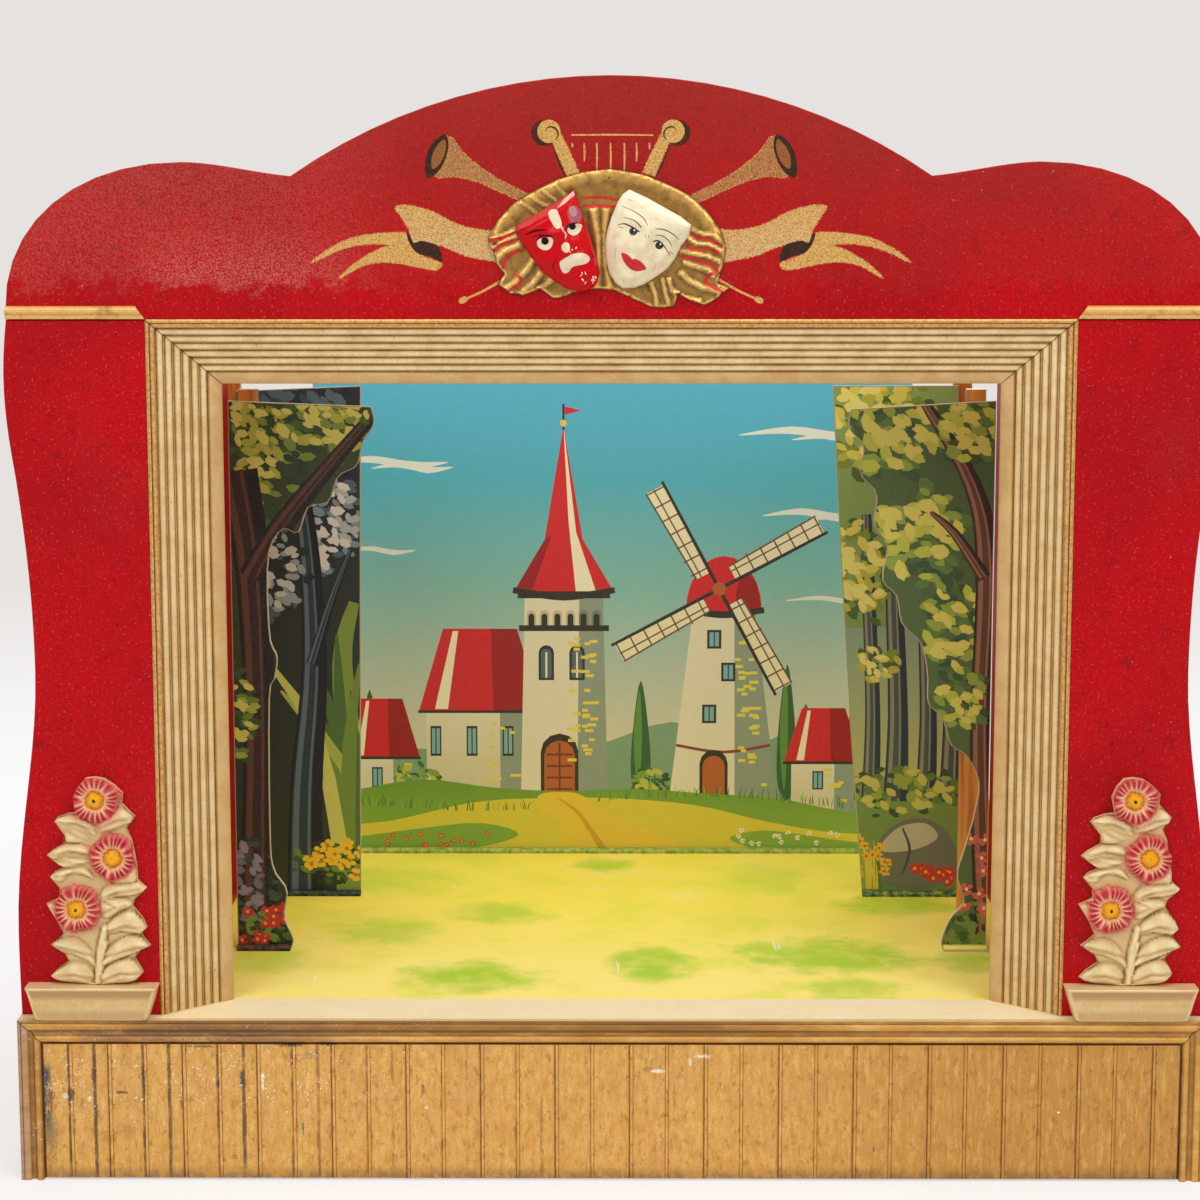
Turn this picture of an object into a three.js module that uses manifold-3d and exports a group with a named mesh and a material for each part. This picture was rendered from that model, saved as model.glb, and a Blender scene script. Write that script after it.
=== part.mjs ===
// A tabletop puppet theatre: a gilt stage box, a red proscenium with a splayed reeded surround,
// a lift-off crest with two masks, and plug-in scenery on a printed stage.
// Millimetres, +Z up, +X to the viewer's right, +Y from the audience towards the back.
// The bench frame has y = 0 on the face of the red panels and z = 0 on the table.
import * as THREE from "three";
import { mergeVertices } from "three/addons/utils/BufferGeometryUtils.js";
import Module from "manifold-3d";

const wasm = await Module();
wasm.setup();

// Overall sizes
const boxWidth = 808;
const boxDepth = 520; // face of the gilt moulding to the back board
const boxHeight = 113;
const wingHeight = 474; // stage to the joint under the crest
const crestRise = 158.5; // joint to the top of the middle lobe

// Stage box
const boxBoard = 12;
const frontBoard = 10;
const deckBoard = 6;
const cornerBlockLeg = 22;
const bearerWide = 20;
const bearerTall = 30;
const apronReach = 40; // the cream strip ends this far behind the red face
const mouldingReach = 14; // the gilt moulding stands this far in front of the red face
const mouldingThick = 6;
const mouldingFace = 15.6;
const mouldingFillet = 2.3; // square edge along the outside
const filletBack = 0.6;
const torusHalf = 2.4;
const torusProud = 1.6;
const coveDepth = 1.4;
const beadRadius = 2.4;
const mitreGap = 0.8;

// Beaded front panel
const panelBoard = 4;
const panelGap = 1.5;
const beadPitch = 25.4;
const beadHalf = 0.9;
const beadProud = 0.4;
const quirkWide = 0.6;
const quirkDeep = 0.9;
const seamWide = 1.2; // every other bead follows a seam between two strips
const seamDeep = 1.6;

// Red boards
const redBoard = 8;
const wingWidth = 96;
const crestInset = 4; // the crest stops this far inside the box's width
const fit = 0.3;

// Reeded surround
const surroundWidth = 44.5; // measured across the front
const surroundDepth = 40; // how far it splays back
const surroundBoard = 8;
const reedCount = 6;
const reedRise = 2.2;
const reedFloor = 1.6; // flat between two reeds
const reedQuirk = 0.6; // how far that flat lies below the board's face
const edgeFillet = 2.4;
const edgeBead = 4.8;
const innerStrip = 11.6;
const stripRound = 1.4;

// Walls and battens behind the proscenium
const wallBoard = 8;
const wallReach = 330;
const wallCorner = 30;
const battenSide = 20;
const battenDrop = 26; // the corner battens stop this far below the joint
const tongueWide = 28;
const tongueThick = 10;
const tongueDrop = 90; // below the joint
const tongueRise = 58; // above the joint
const keeperWall = 9;
const keeperBack = 7;
const keeperTall = 30;
const headerDeep = 22;
const headerTall = 18;
const headerInset = 23; // each end stops this far inside the opening's corner

// Gold strips on the crest
const stripTall = 8.5;
const stripProud = 4;
const stripEnd = 6;

// Mask plaque
const plaqueWide = 159;
const plaqueTall = 91;
const plaqueBoard = 4;
const plaqueBevel = 1.4;
const plaqueFoot = 7.2; // above the joint
const tragedyWide = 46;
const tragedyTall = 63.5;
const tragedyTurnDegrees = 24;
const comedyWide = 51.5;
const comedyTall = 59.5;
const comedyTurnDegrees = -27;
const maskApart = 51; // between the two mask centres
const maskShift = -6.5; // the pair sits this far off the plaque's middle
const maskLift = 40; // mask centres above the plaque's foot
const maskEdge = 4;
const maskDome = 7;
const noseProud = 3;
const noseWide = 3.4;
const noseLong = 9;

// Planters and plaster flowers
const planterWide = 90;
const planterFoot = 76;
const planterTall = 23;
const planterInset = 51; // planter centres this far inside the box's ends
const planterDeep = 17;
const planterFootDeep = 16.4;
const planterRound = 3; // its foot, and the hollow under its rim
const planterCorner = 2.4;
const flowerStalkTall = 144.6;
const flowerStalkWide = 70;
const leftStalkInset = 58;
const rightStalkInset = 49;
const plasterCore = 4.5;
const leafProud = 9;
const leafHalf = 6.8;
const flowerRadius = 15.6;
const flowerProud = 12;
const petalCount = 17;

// Scenery
const cardBoard = 3;
const cardTall = 408;
const frontCardWide = 106;
const backCardWide = 98;
const frontSetback = 170;
const backSetback = 335;
const backdropSetback = 484;
const frontCardGap = 22; // between a front card and its wall
const backCardGap = 5.5;
const uprightWide = 14;
const uprightThick = 10;
const uprightTall = 416;
const uprightLap = 3; // how much of a back upright its card covers
const tenonWide = 8;
const tenonThick = 6;
const cleatTall = 4;
const cleatDeep = 6;
const cleatBevel = 2;
const cardLean = 24; // how far the back right card has leaned inwards at its top
const backdropShare = 0.95; // of the opening's width
const railTall = 16;

// Steps on arcs and curves
const archSteps = 22;
const curveSteps = 10;

// Places worked out from the sizes
const boxHalf = boxWidth / 2;
const boxFront = -mouldingReach;
const boxBack = boxFront + boxDepth;
const mouldingBack = boxFront + mouldingThick;
const boardTop = boxHeight - deckBoard;
const innerHalf = boxHalf - boxBoard;
const frameHalf = boxHalf - wingWidth;
const openingHalf = frameHalf - surroundWidth;
const jointTop = boxHeight + wingHeight;
const crestHalf = boxHalf - crestInset;
const planterFront = -planterDeep;
const middleDepth = (Math.min(planterFront, boxFront) + boxBack) / 2;

// Finishes
const finish = (colour, roughness, metalness = 0) =>
  new THREE.MeshStandardMaterial({ color: colour, roughness, metalness });
const red = () => finish(0xb5121f, 0.42);
const gilt = () => finish(0xb98d45, 0.45, 0.5);
const cream = () => finish(0xe6d2a0, 0.6);
const champagne = () => finish(0xc9ae80, 0.4, 0.35);
const plaster = () => finish(0xe0d2ae, 0.75);
const rawWood = () => finish(0xc8a06a, 0.65);
const varnished = () => finish(0xb8651c, 0.35);
const printed = (colour) => finish(colour, 0.7);

// Solids and geometries
function toSolid(geometry) {
  const bare = geometry.index ? geometry.toNonIndexed() : geometry.clone();
  bare.deleteAttribute("normal");
  bare.deleteAttribute("uv");
  const merged = mergeVertices(bare);
  return new wasm.Manifold(
    new wasm.Mesh({
      numProp: 3,
      vertProperties: merged.attributes.position.array,
      triVerts: new Uint32Array(merged.index.array),
    }),
  );
}

function toGeometry(solid) {
  const mesh = solid.getMesh();
  const stride = mesh.numProp;
  const positions = new Float32Array(mesh.numVert * 3);
  for (let i = 0; i < mesh.numVert; i++) {
    positions.set(mesh.vertProperties.subarray(i * stride, i * stride + 3), i * 3);
  }
  const geometry = new THREE.BufferGeometry();
  geometry.setAttribute("position", new THREE.BufferAttribute(positions, 3));
  geometry.setIndex(new THREE.BufferAttribute(mesh.triVerts, 1));
  const faceted = geometry.toNonIndexed();
  faceted.computeVertexNormals();
  return faceted;
}

function piece(name, geometry, material) {
  const mesh = new THREE.Mesh(geometry, material);
  mesh.name = name;
  return mesh;
}

function shapeOf(points) {
  return new THREE.Shape(points.map(([a, b]) => new THREE.Vector2(a, b)));
}

function extruded(shape, depth) {
  return new THREE.ExtrudeGeometry(shape, { depth, bevelEnabled: false, curveSegments: curveSteps });
}

// A shape drawn in x and z, given a thickness towards the back from the plane y.
function plate(shape, y, thick) {
  return extruded(shape, thick).rotateX(Math.PI / 2).translate(0, y + thick, 0);
}

// A section drawn in y and z, run along x.
function barAcross(shape, x, length) {
  const turn = new THREE.Matrix4().makeBasis(
    new THREE.Vector3(0, 1, 0),
    new THREE.Vector3(0, 0, 1),
    new THREE.Vector3(1, 0, 0),
  );
  return extruded(shape, length).applyMatrix4(turn).translate(x, 0, 0);
}

// A section drawn in plan, run upwards.
function post(shape, z, length) {
  return extruded(shape, length).translate(0, 0, z);
}

// A plain board between two corners.
function board(name, low, high, material) {
  const size = high.map((value, i) => value - low[i]);
  const mesh = piece(name, new THREE.BoxGeometry(...size), material);
  mesh.position.set(...high.map((value, i) => (value + low[i]) / 2));
  return mesh;
}

function signedVolume(positions) {
  const [a, b, c] = [new THREE.Vector3(), new THREE.Vector3(), new THREE.Vector3()];
  let sum = 0;
  for (let i = 0; i < positions.count; i += 3) {
    a.fromBufferAttribute(positions, i);
    b.fromBufferAttribute(positions, i + 1);
    c.fromBufferAttribute(positions, i + 2);
    sum += a.dot(b.cross(c));
  }
  return sum;
}

// Moves every point of a geometry, and turns its faces round if the move mirrors it.
function reshaped(geometry, place) {
  const loose = geometry.index ? geometry.toNonIndexed() : geometry;
  const positions = loose.attributes.position;
  for (let i = 0; i < positions.count; i++) {
    positions.setXYZ(i, ...place(positions.getX(i), positions.getY(i), positions.getZ(i)));
  }
  if (signedVolume(positions) < 0) {
    for (let i = 0; i < positions.count; i += 3) {
      const keep = [positions.getX(i), positions.getY(i), positions.getZ(i)];
      positions.setXYZ(i, positions.getX(i + 1), positions.getY(i + 1), positions.getZ(i + 1));
      positions.setXYZ(i + 1, ...keep);
    }
  }
  loose.computeVertexNormals();
  return loose;
}

function mirrored(geometry) {
  return reshaped(geometry.clone(), (x, y, z) => [-x, y, z]);
}

function arcPoints(centre, across, up, from, to, steps) {
  return Array.from({ length: steps + 1 }, (_, i) => {
    const angle = THREE.MathUtils.degToRad(from + ((to - from) * i) / steps);
    return [centre[0] + across * Math.cos(angle), centre[1] + up * Math.sin(angle)];
  });
}

// Three bars round an opening with no bottom rail, mitred at the top corners.
// Their section is drawn in (inward, y), inward being measured from the outer edge.
function mitredFrame(names, section, half, top, foot, material) {
  const unit = extruded(section, 1);
  const halfGap = mitreGap / 2;
  const rail = reshaped(unit.clone(), (inward, y, end) => [
    (end < 0.5 ? -1 : 1) * (half - inward - halfGap),
    y,
    top - inward,
  ]);
  const side = reshaped(unit.clone(), (inward, y, end) => [
    inward - half,
    y,
    end < 0.5 ? foot : top - inward - halfGap,
  ]);
  return [
    piece(names[0], rail, material()),
    piece(names[1], side, material()),
    piece(names[2], mirrored(side), material()),
  ];
}

// Stage box
function mouldingSection() {
  const fillet = boxFront + filletBack;
  const coveFront = boxFront + torusProud;
  const coveStart = mouldingFillet + 2 * torusHalf;
  const coveHalf = (mouldingFace - 2 * beadRadius - coveStart) / 2;
  const beadCentre = [mouldingFace - beadRadius, boxFront + beadRadius];
  const torus = arcPoints([mouldingFillet + torusHalf, coveFront], torusHalf, torusProud, 180, 360, 8);
  const cove = arcPoints([coveStart + coveHalf, coveFront], coveHalf, coveDepth, 150, 30, 4);
  const bead = arcPoints(beadCentre, beadRadius, beadRadius, 180, 360, 6);
  return shapeOf([
    [0, mouldingBack],
    [0, fillet],
    [mouldingFillet, fillet],
    ...torus,
    ...cove,
    ...bead,
    [mouldingFace, mouldingBack],
  ]);
}

// The panel is made of narrow strips, each with a bead along one edge and another down its middle.
function beadedPanel() {
  const half = boxHalf - mouldingFace - panelGap;
  const face = mouldingBack - panelBoard;
  const count = Math.floor(half / beadPitch);
  const shoulder = beadProud * Math.SQRT1_2;
  const front = [];
  for (let i = -count; i < count; i++) {
    const line = ((2 * i + 1) * beadPitch) / 2;
    const seam = i % 2 === 0;
    const x = seam ? line + seamWide / 2 + beadHalf : line;
    if (seam) {
      const start = line - seamWide / 2;
      front.push([start, face], [start, face + seamDeep], [x - beadHalf, face + seamDeep]);
    } else {
      front.push([x - beadHalf - quirkWide, face], [x - beadHalf, face + quirkDeep]);
    }
    front.push(
      [x - beadHalf / 2, face - shoulder],
      [x, face - beadProud],
      [x + beadHalf / 2, face - shoulder],
      [x + beadHalf, face + quirkDeep],
      [x + beadHalf + quirkWide, face],
    );
  }
  const section = [[-half, mouldingBack], [-half, face], ...front, [half, face], [half, mouldingBack]];
  const height = boxHeight - mouldingFace - 2 * panelGap;
  return piece("base_front_panel", post(shapeOf(section), panelGap, height), gilt());
}

// The deck board has a mortise under each scenery upright.
function stageDeck(uprights) {
  const low = [-boxHalf, apronReach, boardTop];
  const high = [boxHalf, boxBack, boxHeight];
  const size = high.map((value, i) => value - low[i]);
  const centre = high.map((value, i) => (value + low[i]) / 2);
  let solid = toSolid(new THREE.BoxGeometry(...size).translate(...centre));
  for (const { x, y } of uprights) {
    const hole = new THREE.BoxGeometry(tenonWide + 2 * fit, tenonThick + 2 * fit, deckBoard * 3);
    solid = solid.subtract(toSolid(hole.translate(x, y, boxHeight)));
  }
  return piece("stage_floor", toGeometry(solid), printed(0xe2d36a));
}

function cornerBlock(name, x, y, towardsX, towardsY) {
  const section = shapeOf([[x, y], [x + towardsX * cornerBlockLeg, y], [x, y + towardsY * cornerBlockLeg]]);
  return piece(name, post(section, 0, boardTop), rawWood());
}

function stageBox(uprights) {
  const box = new THREE.Group();
  const backInside = boxBack - boxBoard;
  const frontInside = mouldingBack + frontBoard;
  const bearerMiddle = (frontInside + backInside) / 2;
  box.add(
    board("base_side_left", [-boxHalf, mouldingBack, 0], [-innerHalf, boxBack, boardTop], gilt()),
    board("base_side_right", [innerHalf, mouldingBack, 0], [boxHalf, boxBack, boardTop], gilt()),
    board("base_front_board", [-innerHalf, mouldingBack, 0], [innerHalf, frontInside, boardTop], rawWood()),
    board("base_back_board", [-innerHalf, backInside, 0], [innerHalf, boxBack, boardTop], gilt()),
    board("floor_bearer", [-innerHalf, bearerMiddle - bearerWide / 2, boardTop - bearerTall],
      [innerHalf, bearerMiddle + bearerWide / 2, boardTop], rawWood()),
    board("apron_board", [-boxHalf, mouldingBack, boardTop], [boxHalf, apronReach, boxHeight], cream()),
    cornerBlock("corner_block_front_left", -innerHalf, frontInside, 1, 1),
    cornerBlock("corner_block_front_right", innerHalf, frontInside, -1, 1),
    cornerBlock("corner_block_back_left", -innerHalf, backInside, 1, -1),
    cornerBlock("corner_block_back_right", innerHalf, backInside, -1, -1),
    ...mitredFrame(["base_moulding_top", "base_moulding_left", "base_moulding_right"],
      mouldingSection(), boxHalf, boxHeight, 0, gilt),
    beadedPanel(),
    stageDeck(uprights),
  );
  return box;
}

// Reeded surround: t runs across the splayed face from its outer edge and h stands out of its back.
const splayLength = Math.hypot(surroundWidth, surroundDepth);
const splayAcross = surroundWidth / splayLength;
const splayBack = surroundDepth / splayLength;

function splayPoint(t, h) {
  const proud = h - surroundBoard;
  return [t * splayAcross + proud * splayBack, t * splayBack - proud * splayAcross];
}

// Depth of the surround's back face, at a place measured inward from its outer edge.
function surroundBackAt(inward) {
  const [inwardStart, backStart] = splayPoint(0, 0);
  return backStart + ((inward - inwardStart) * surroundDepth) / surroundWidth;
}

function reededSection() {
  const low = surroundBoard - reedQuirk;
  const high = surroundBoard + reedRise;
  const filletTop = (surroundBoard + high) / 2;
  const beadStart = edgeFillet + edgeBead;
  const reedPitch = (splayLength - beadStart - innerStrip) / reedCount;
  const points = [[0, surroundBoard], [reedQuirk / 2, filletTop], [edgeFillet - reedQuirk, filletTop]];
  const ridge = (start, width) => {
    const centre = [start + width / 2, surroundBoard];
    points.push([start, low]);
    points.push(...arcPoints(centre, (reedFloor - width) / 2, reedRise, 0, 180, 5));
  };
  ridge(edgeFillet, edgeBead);
  for (let i = 0; i < reedCount; i++) {
    ridge(beadStart + i * reedPitch, reedPitch);
  }
  const stripStart = splayLength - innerStrip;
  points.push(
    [stripStart, low],
    [stripStart + reedQuirk, high - stripRound / 2],
    [stripStart + stripRound, high],
    [splayLength - stripRound, high],
    [splayLength - stripRound / 4, high - stripRound / 2],
    [splayLength, high - stripRound],
    [splayLength, 0],
  );
  const section = points.map(([t, h]) => splayPoint(t, h));
  section.push([0, surroundBackAt(0)]);
  return shapeOf(section);
}

// Red boards. The wing's outer edge is three curves, each with two handles and an end. Their places are
// shares of the box's half width, outward, and of the wing's height.
const wingEdgeShares = [
  [[0, 0.93], [0.001, 0.88], [-0.018, 0.78]],
  [[-0.033, 0.68], [-0.041, 0.6], [-0.041, 0.5]],
  [[-0.041, 0.38], [0, 0.26], [0, 0.12]],
  [[0, 0.08], [-0.001, 0.04], [-0.002, 0]],
];

function wingGeometry() {
  const top = jointTop - fit;
  const place = ([out, up]) => [-boxHalf * (1 + out), boxHeight + wingHeight * up];
  const shape = new THREE.Shape();
  shape.moveTo(-frameHalf, boxHeight);
  shape.lineTo(-frameHalf, top);
  shape.lineTo(-crestHalf, top);
  wingEdgeShares.forEach((curve) => shape.bezierCurveTo(...curve.flatMap(place)));
  return plate(shape, 0, redBoard);
}

// The crest's right end, its side lobe and the dip to the cusp, as shares of its half width and its rise.
const crestEndShare = [1, 0.04];
const crestEdgeShares = [
  [[1, 0.399], [0.879, 0.648], [0.705, 0.648]],
  [[0.651, 0.648], [0.589, 0.605], [0.526, 0.59]],
];

function crestGeometry() {
  const place = ([across, up]) => new THREE.Vector2(across * crestHalf, jointTop + up * crestRise);
  const edge = [place(crestEndShare)];
  for (const curve of crestEdgeShares) {
    const bend = new THREE.CubicBezierCurve(edge[edge.length - 1], ...curve.map(place));
    edge.push(...bend.getPoints(curveSteps).slice(1));
  }
  const cusp = edge[edge.length - 1];
  const archTop = jointTop + crestRise;
  const sagitta = archTop - cusp.y;
  const radius = (cusp.x ** 2 + sagitta ** 2) / (2 * sagitta);
  const reach = THREE.MathUtils.radToDeg(Math.asin(cusp.x / radius));
  const arch = arcPoints([0, archTop - radius], radius, radius, 90 - reach, 90 + reach, archSteps);
  const right = edge.map(({ x, y }) => [x, y]);
  const left = right.map(([x, z]) => [-x, z]).reverse();
  const outline = [[-crestHalf, jointTop], [crestHalf, jointTop], ...right, ...arch.slice(1, -1), ...left];
  return plate(shapeOf(outline), 0, redBoard);
}

// The side wall follows the back of the reeded board in plan and has a rounded upper rear corner.
function wallGeometry() {
  const outer = -frameHalf;
  const inner = outer + wallBoard;
  const plan = shapeOf([
    [outer, surroundBackAt(0) + fit],
    [inner, surroundBackAt(wallBoard) + fit],
    [inner, wallReach],
    [outer, wallReach],
  ]);
  const top = jointTop - fit;
  const profile = new THREE.Shape();
  profile.moveTo(0, boxHeight);
  profile.lineTo(wallReach, boxHeight);
  profile.lineTo(wallReach, top - wallCorner);
  profile.absarc(wallReach - wallCorner, top - wallCorner, wallCorner, 0, Math.PI / 2, false);
  profile.lineTo(0, top);
  const solid = toSolid(post(plan, boxHeight, wingHeight)).intersect(
    toSolid(barAcross(profile, outer - wallBoard, wallBoard * 3)),
  );
  return toGeometry(solid);
}

function keeperGeometry(centre) {
  const half = tongueWide / 2 + fit;
  const depth = redBoard + tongueThick + fit;
  const plan = shapeOf([
    [centre - half - keeperWall, redBoard],
    [centre - half, redBoard],
    [centre - half, depth],
    [centre + half, depth],
    [centre + half, redBoard],
    [centre + half + keeperWall, redBoard],
    [centre + half + keeperWall, depth + keeperBack],
    [centre - half - keeperWall, depth + keeperBack],
  ]);
  return post(plan, jointTop - tongueDrop / 2 - keeperTall, keeperTall);
}

const tongueCentre = frameHalf + battenSide + fit + keeperWall + fit + tongueWide / 2;

function proscenium() {
  const group = new THREE.Group();
  const wing = wingGeometry();
  const wall = wallGeometry();
  const keeper = keeperGeometry(-tongueCentre);
  const battenTop = jointTop - battenDrop;
  group.add(
    piece("wing_left", wing, red()),
    piece("wing_right", mirrored(wing), red()),
    piece("side_wall_left", wall, red()),
    piece("side_wall_right", mirrored(wall), red()),
    board("corner_batten_left", [-frameHalf - battenSide, redBoard, boxHeight],
      [-frameHalf, redBoard + battenSide, battenTop], rawWood()),
    board("corner_batten_right", [frameHalf, redBoard, boxHeight],
      [frameHalf + battenSide, redBoard + battenSide, battenTop], rawWood()),
    piece("tongue_keeper_left", keeper, rawWood()),
    piece("tongue_keeper_right", mirrored(keeper), rawWood()),
  );
  return group;
}

// The bevelled batten fills the angle between the crest and the back of the reeded top.
function headerGeometry() {
  const back = redBoard + headerDeep;
  const drop = ((back - surroundBackAt(0)) * surroundWidth) / surroundDepth;
  const section = shapeOf([
    [redBoard, jointTop + headerTall],
    [redBoard, jointTop + fit],
    [surroundBackAt(0) + fit, jointTop + fit],
    [back, jointTop + fit - drop],
    [back, jointTop + headerTall],
  ]);
  const half = openingHalf - headerInset;
  return barAcross(section, -half, 2 * half);
}

function crestStrip() {
  const foot = jointTop + fit;
  const rise = stripTall - stripProud / 2;
  const section = shapeOf([
    [0, foot],
    [-stripProud / 2, foot],
    [-stripProud / 2, foot + stripProud / 2],
    ...arcPoints([0, foot + stripProud / 2 + rise / 2], -stripProud, -rise / 2, 60, -90, 6),
  ]);
  const length = crestHalf - frameHalf;
  const bar = barAcross(section, 0, length);
  return reshaped(bar, (x, y, z) => {
    const taper = (stripEnd * (z - foot)) / stripTall;
    return [x < length / 2 ? x - crestHalf : x - crestHalf - taper, y, z];
  });
}

// A low relief with a flat back: rings of one outline, each shrunk towards the middle and raised.
function relief(outline, rings, back) {
  const count = outline.length;
  const points = outline.map(([x, z]) => [x, back, z]);
  for (const [shrink, proud] of rings) {
    for (const [x, z] of outline) {
      points.push([x * shrink, back - proud(x * shrink, z * shrink), z * shrink]);
    }
  }
  const tip = rings[rings.length - 1][1];
  points.push([0, back - tip(0, 0), 0], [0, back, 0]);
  const faces = [];
  for (let ring = 0; ring < rings.length; ring++) {
    for (let i = 0; i < count; i++) {
      const next = (i + 1) % count;
      const [a, b] = [ring * count + i, ring * count + next];
      const [c, d] = [a + count, b + count];
      faces.push(a, b, d, a, d, c);
    }
  }
  const last = rings.length * count;
  for (let i = 0; i < count; i++) {
    const next = (i + 1) % count;
    faces.push(last + i, last + next, points.length - 2);
    faces.push(next, i, points.length - 1);
  }
  const geometry = new THREE.BufferGeometry();
  geometry.setAttribute("position", new THREE.Float32BufferAttribute(points.flat(), 3));
  geometry.setIndex(faces);
  return reshaped(geometry, (x, y, z) => [x, y, z]);
}

// Scales a table of shares about a middle to a width and a height.
function sized(shares, wide, tall) {
  return shares.map(([x, z]) => [x * wide, z * tall]);
}

// The plaque: an oval top and a torn drapery hem, as shares of its width and height about its middle.
const plaqueShares = [
  [0, 0.5], [-0.113, 0.478], [-0.219, 0.425], [-0.313, 0.345], [-0.377, 0.285], [-0.421, 0.224],
  [-0.475, 0.117], [-0.5, 0.01], [-0.507, -0.035], [-0.486, -0.102], [-0.475, -0.184], [-0.443, -0.251],
  [-0.471, -0.326], [-0.414, -0.4], [-0.364, -0.412], [-0.291, -0.363], [-0.241, -0.431],
  [-0.195, -0.421], [-0.154, -0.388], [-0.101, -0.366], [-0.053, -0.363], [0.019, -0.375],
  [0.075, -0.419], [0.127, -0.463], [0.164, -0.491], [0.206, -0.5], [0.267, -0.487], [0.278, -0.42],
  [0.333, -0.452], [0.386, -0.481], [0.434, -0.439], [0.494, -0.351], [0.444, -0.319], [0.457, -0.239],
  [0.469, -0.151], [0.475, -0.086], [0.469, -0.027], [0.455, 0.053], [0.43, 0.122], [0.38, 0.228],
  [0.321, 0.314], [0.213, 0.407], [0.138, 0.456], [0.069, 0.481],
];
const plaqueFaceShare = 0.97; // where its bevel ends

function plaqueGeometry() {
  const rise = (proud) => () => proud;
  const rings = [[1, rise(plaqueBoard - plaqueBevel)], [plaqueFaceShare, rise(plaqueBoard)]];
  const plaque = relief(sized(plaqueShares, plaqueWide, plaqueTall), rings, 0);
  return plaque.translate(0, 0, jointTop + plaqueFoot + plaqueTall / 2);
}

// Mask outlines, each upright in its own frame, as shares of its width and height.
const tragedyShares = [
  [0.5, 0.5], [0.265, 0.469], [0.054, 0.451], [-0.215, 0.431], [-0.478, 0.406], [-0.5, 0.292],
  [-0.475, 0.171], [-0.452, 0.05], [-0.394, -0.112], [-0.292, -0.267], [-0.169, -0.391],
  [-0.023, -0.474], [0.121, -0.5], [0.26, -0.466], [0.352, -0.382], [0.386, -0.262], [0.416, -0.117],
  [0.438, 0.078], [0.462, 0.264], [0.491, 0.405],
];
const comedyShares = [
  [-0.439, 0.491], [-0.192, 0.5], [0.103, 0.491], [0.304, 0.485], [0.466, 0.457], [0.5, 0.341],
  [0.472, 0.204], [0.474, 0.049], [0.446, -0.087], [0.353, -0.237], [0.274, -0.349], [0.182, -0.436],
  [0.054, -0.5], [-0.065, -0.483], [-0.194, -0.416], [-0.318, -0.282], [-0.412, -0.138],
  [-0.456, -0.003], [-0.486, 0.139], [-0.5, 0.318], [-0.487, 0.417],
];
const maskRingShares = [1, 0.95, 0.8, 0.62, 0.44, 0.26, 0.12];
const maskSwellShare = 0.8; // the dome has this much of its fall left at the mask's edge
const masks = {
  tragedy: { shares: tragedyShares, wide: tragedyWide, tall: tragedyTall, turn: tragedyTurnDegrees },
  comedy: { shares: comedyShares, wide: comedyWide, tall: comedyTall, turn: comedyTurnDegrees },
};

function maskGeometry({ shares, wide, tall, turn }, side) {
  const dome = (x, z) => {
    const reach = [x / wide, z / tall].map((share) => Math.cos(Math.PI * share * maskSwellShare));
    const swell = reach[0] * reach[1];
    const nose = Math.exp(-((x / noseWide) ** 2) - ((z / noseLong) ** 2));
    return maskEdge + maskDome * swell + noseProud * nose;
  };
  const edge = (x, z) => (maskEdge + dome(x, z)) / 2;
  const rings = maskRingShares.map((share, i) => [share, i ? dome : edge]);
  const mask = relief(sized(shares, wide, tall), rings, 0).rotateY(-THREE.MathUtils.degToRad(turn));
  return mask.translate(maskShift + (side * maskApart) / 2, -plaqueBoard, jointTop + plaqueFoot + maskLift);
}

function crest() {
  const group = new THREE.Group();
  const strip = crestStrip();
  const tongueLow = jointTop - tongueDrop;
  const tongueHigh = jointTop + tongueRise;
  const tongue = (name, side) => {
    const middle = side * tongueCentre;
    return board(name, [middle - tongueWide / 2, redBoard, tongueLow],
      [middle + tongueWide / 2, redBoard + tongueThick, tongueHigh], rawWood());
  };
  group.add(
    piece("crest_panel", crestGeometry(), red()),
    piece("crest_header", headerGeometry(), rawWood()),
    piece("crest_strip_left", strip, gilt()),
    piece("crest_strip_right", mirrored(strip), gilt()),
    tongue("crest_tongue_left", -1),
    tongue("crest_tongue_right", 1),
    piece("mask_plaque", plaqueGeometry(), gilt()),
    piece("mask_tragedy", maskGeometry(masks.tragedy, -1), red()),
    piece("mask_comedy", maskGeometry(masks.comedy, 1), plaster()),
  );
  return group;
}

// A solid planter block that widens upwards. Its levels are shares of its height, and the cut at each is a
// share of its round, taken off the ends and the face: the round of the foot, then the hollow under the rim.
const planterLevelShares = [
  [0, 0.8], [0.02, 0.36], [0.05, 0.1], [0.09, 0], [0.45, -0.04], [0.83, 0], [0.85, 0.18], [0.89, 0.25],
  [0.92, 0.18], [0.94, 0], [1, 0],
];

function planterGeometry(centre) {
  const half = planterWide / 2;
  const footHalf = planterFoot / 2;
  const corner = (side, from, to) => {
    const middle = [side * (half - planterCorner), planterCorner - planterDeep];
    return arcPoints(middle, planterCorner, planterCorner, from, to, 3);
  };
  const plan = shapeOf([[half, 0], [-half, 0], ...corner(-1, 180, 270), ...corner(1, 270, 360)]);
  const steps = planterLevelShares.length - 1;
  const block = new THREE.ExtrudeGeometry(plan, { depth: steps, steps, bevelEnabled: false });
  return reshaped(block, (x, y, level) => {
    const [up, cut] = planterLevelShares[Math.round(level)];
    const reach = footHalf + (half - footHalf) * up - cut * planterRound;
    const deep = planterFootDeep + (planterDeep - planterFootDeep) * up - cut * planterRound;
    return [centre + (x * reach) / half, (y * deep) / planterDeep, boxHeight + planterTall * up];
  });
}

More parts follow.
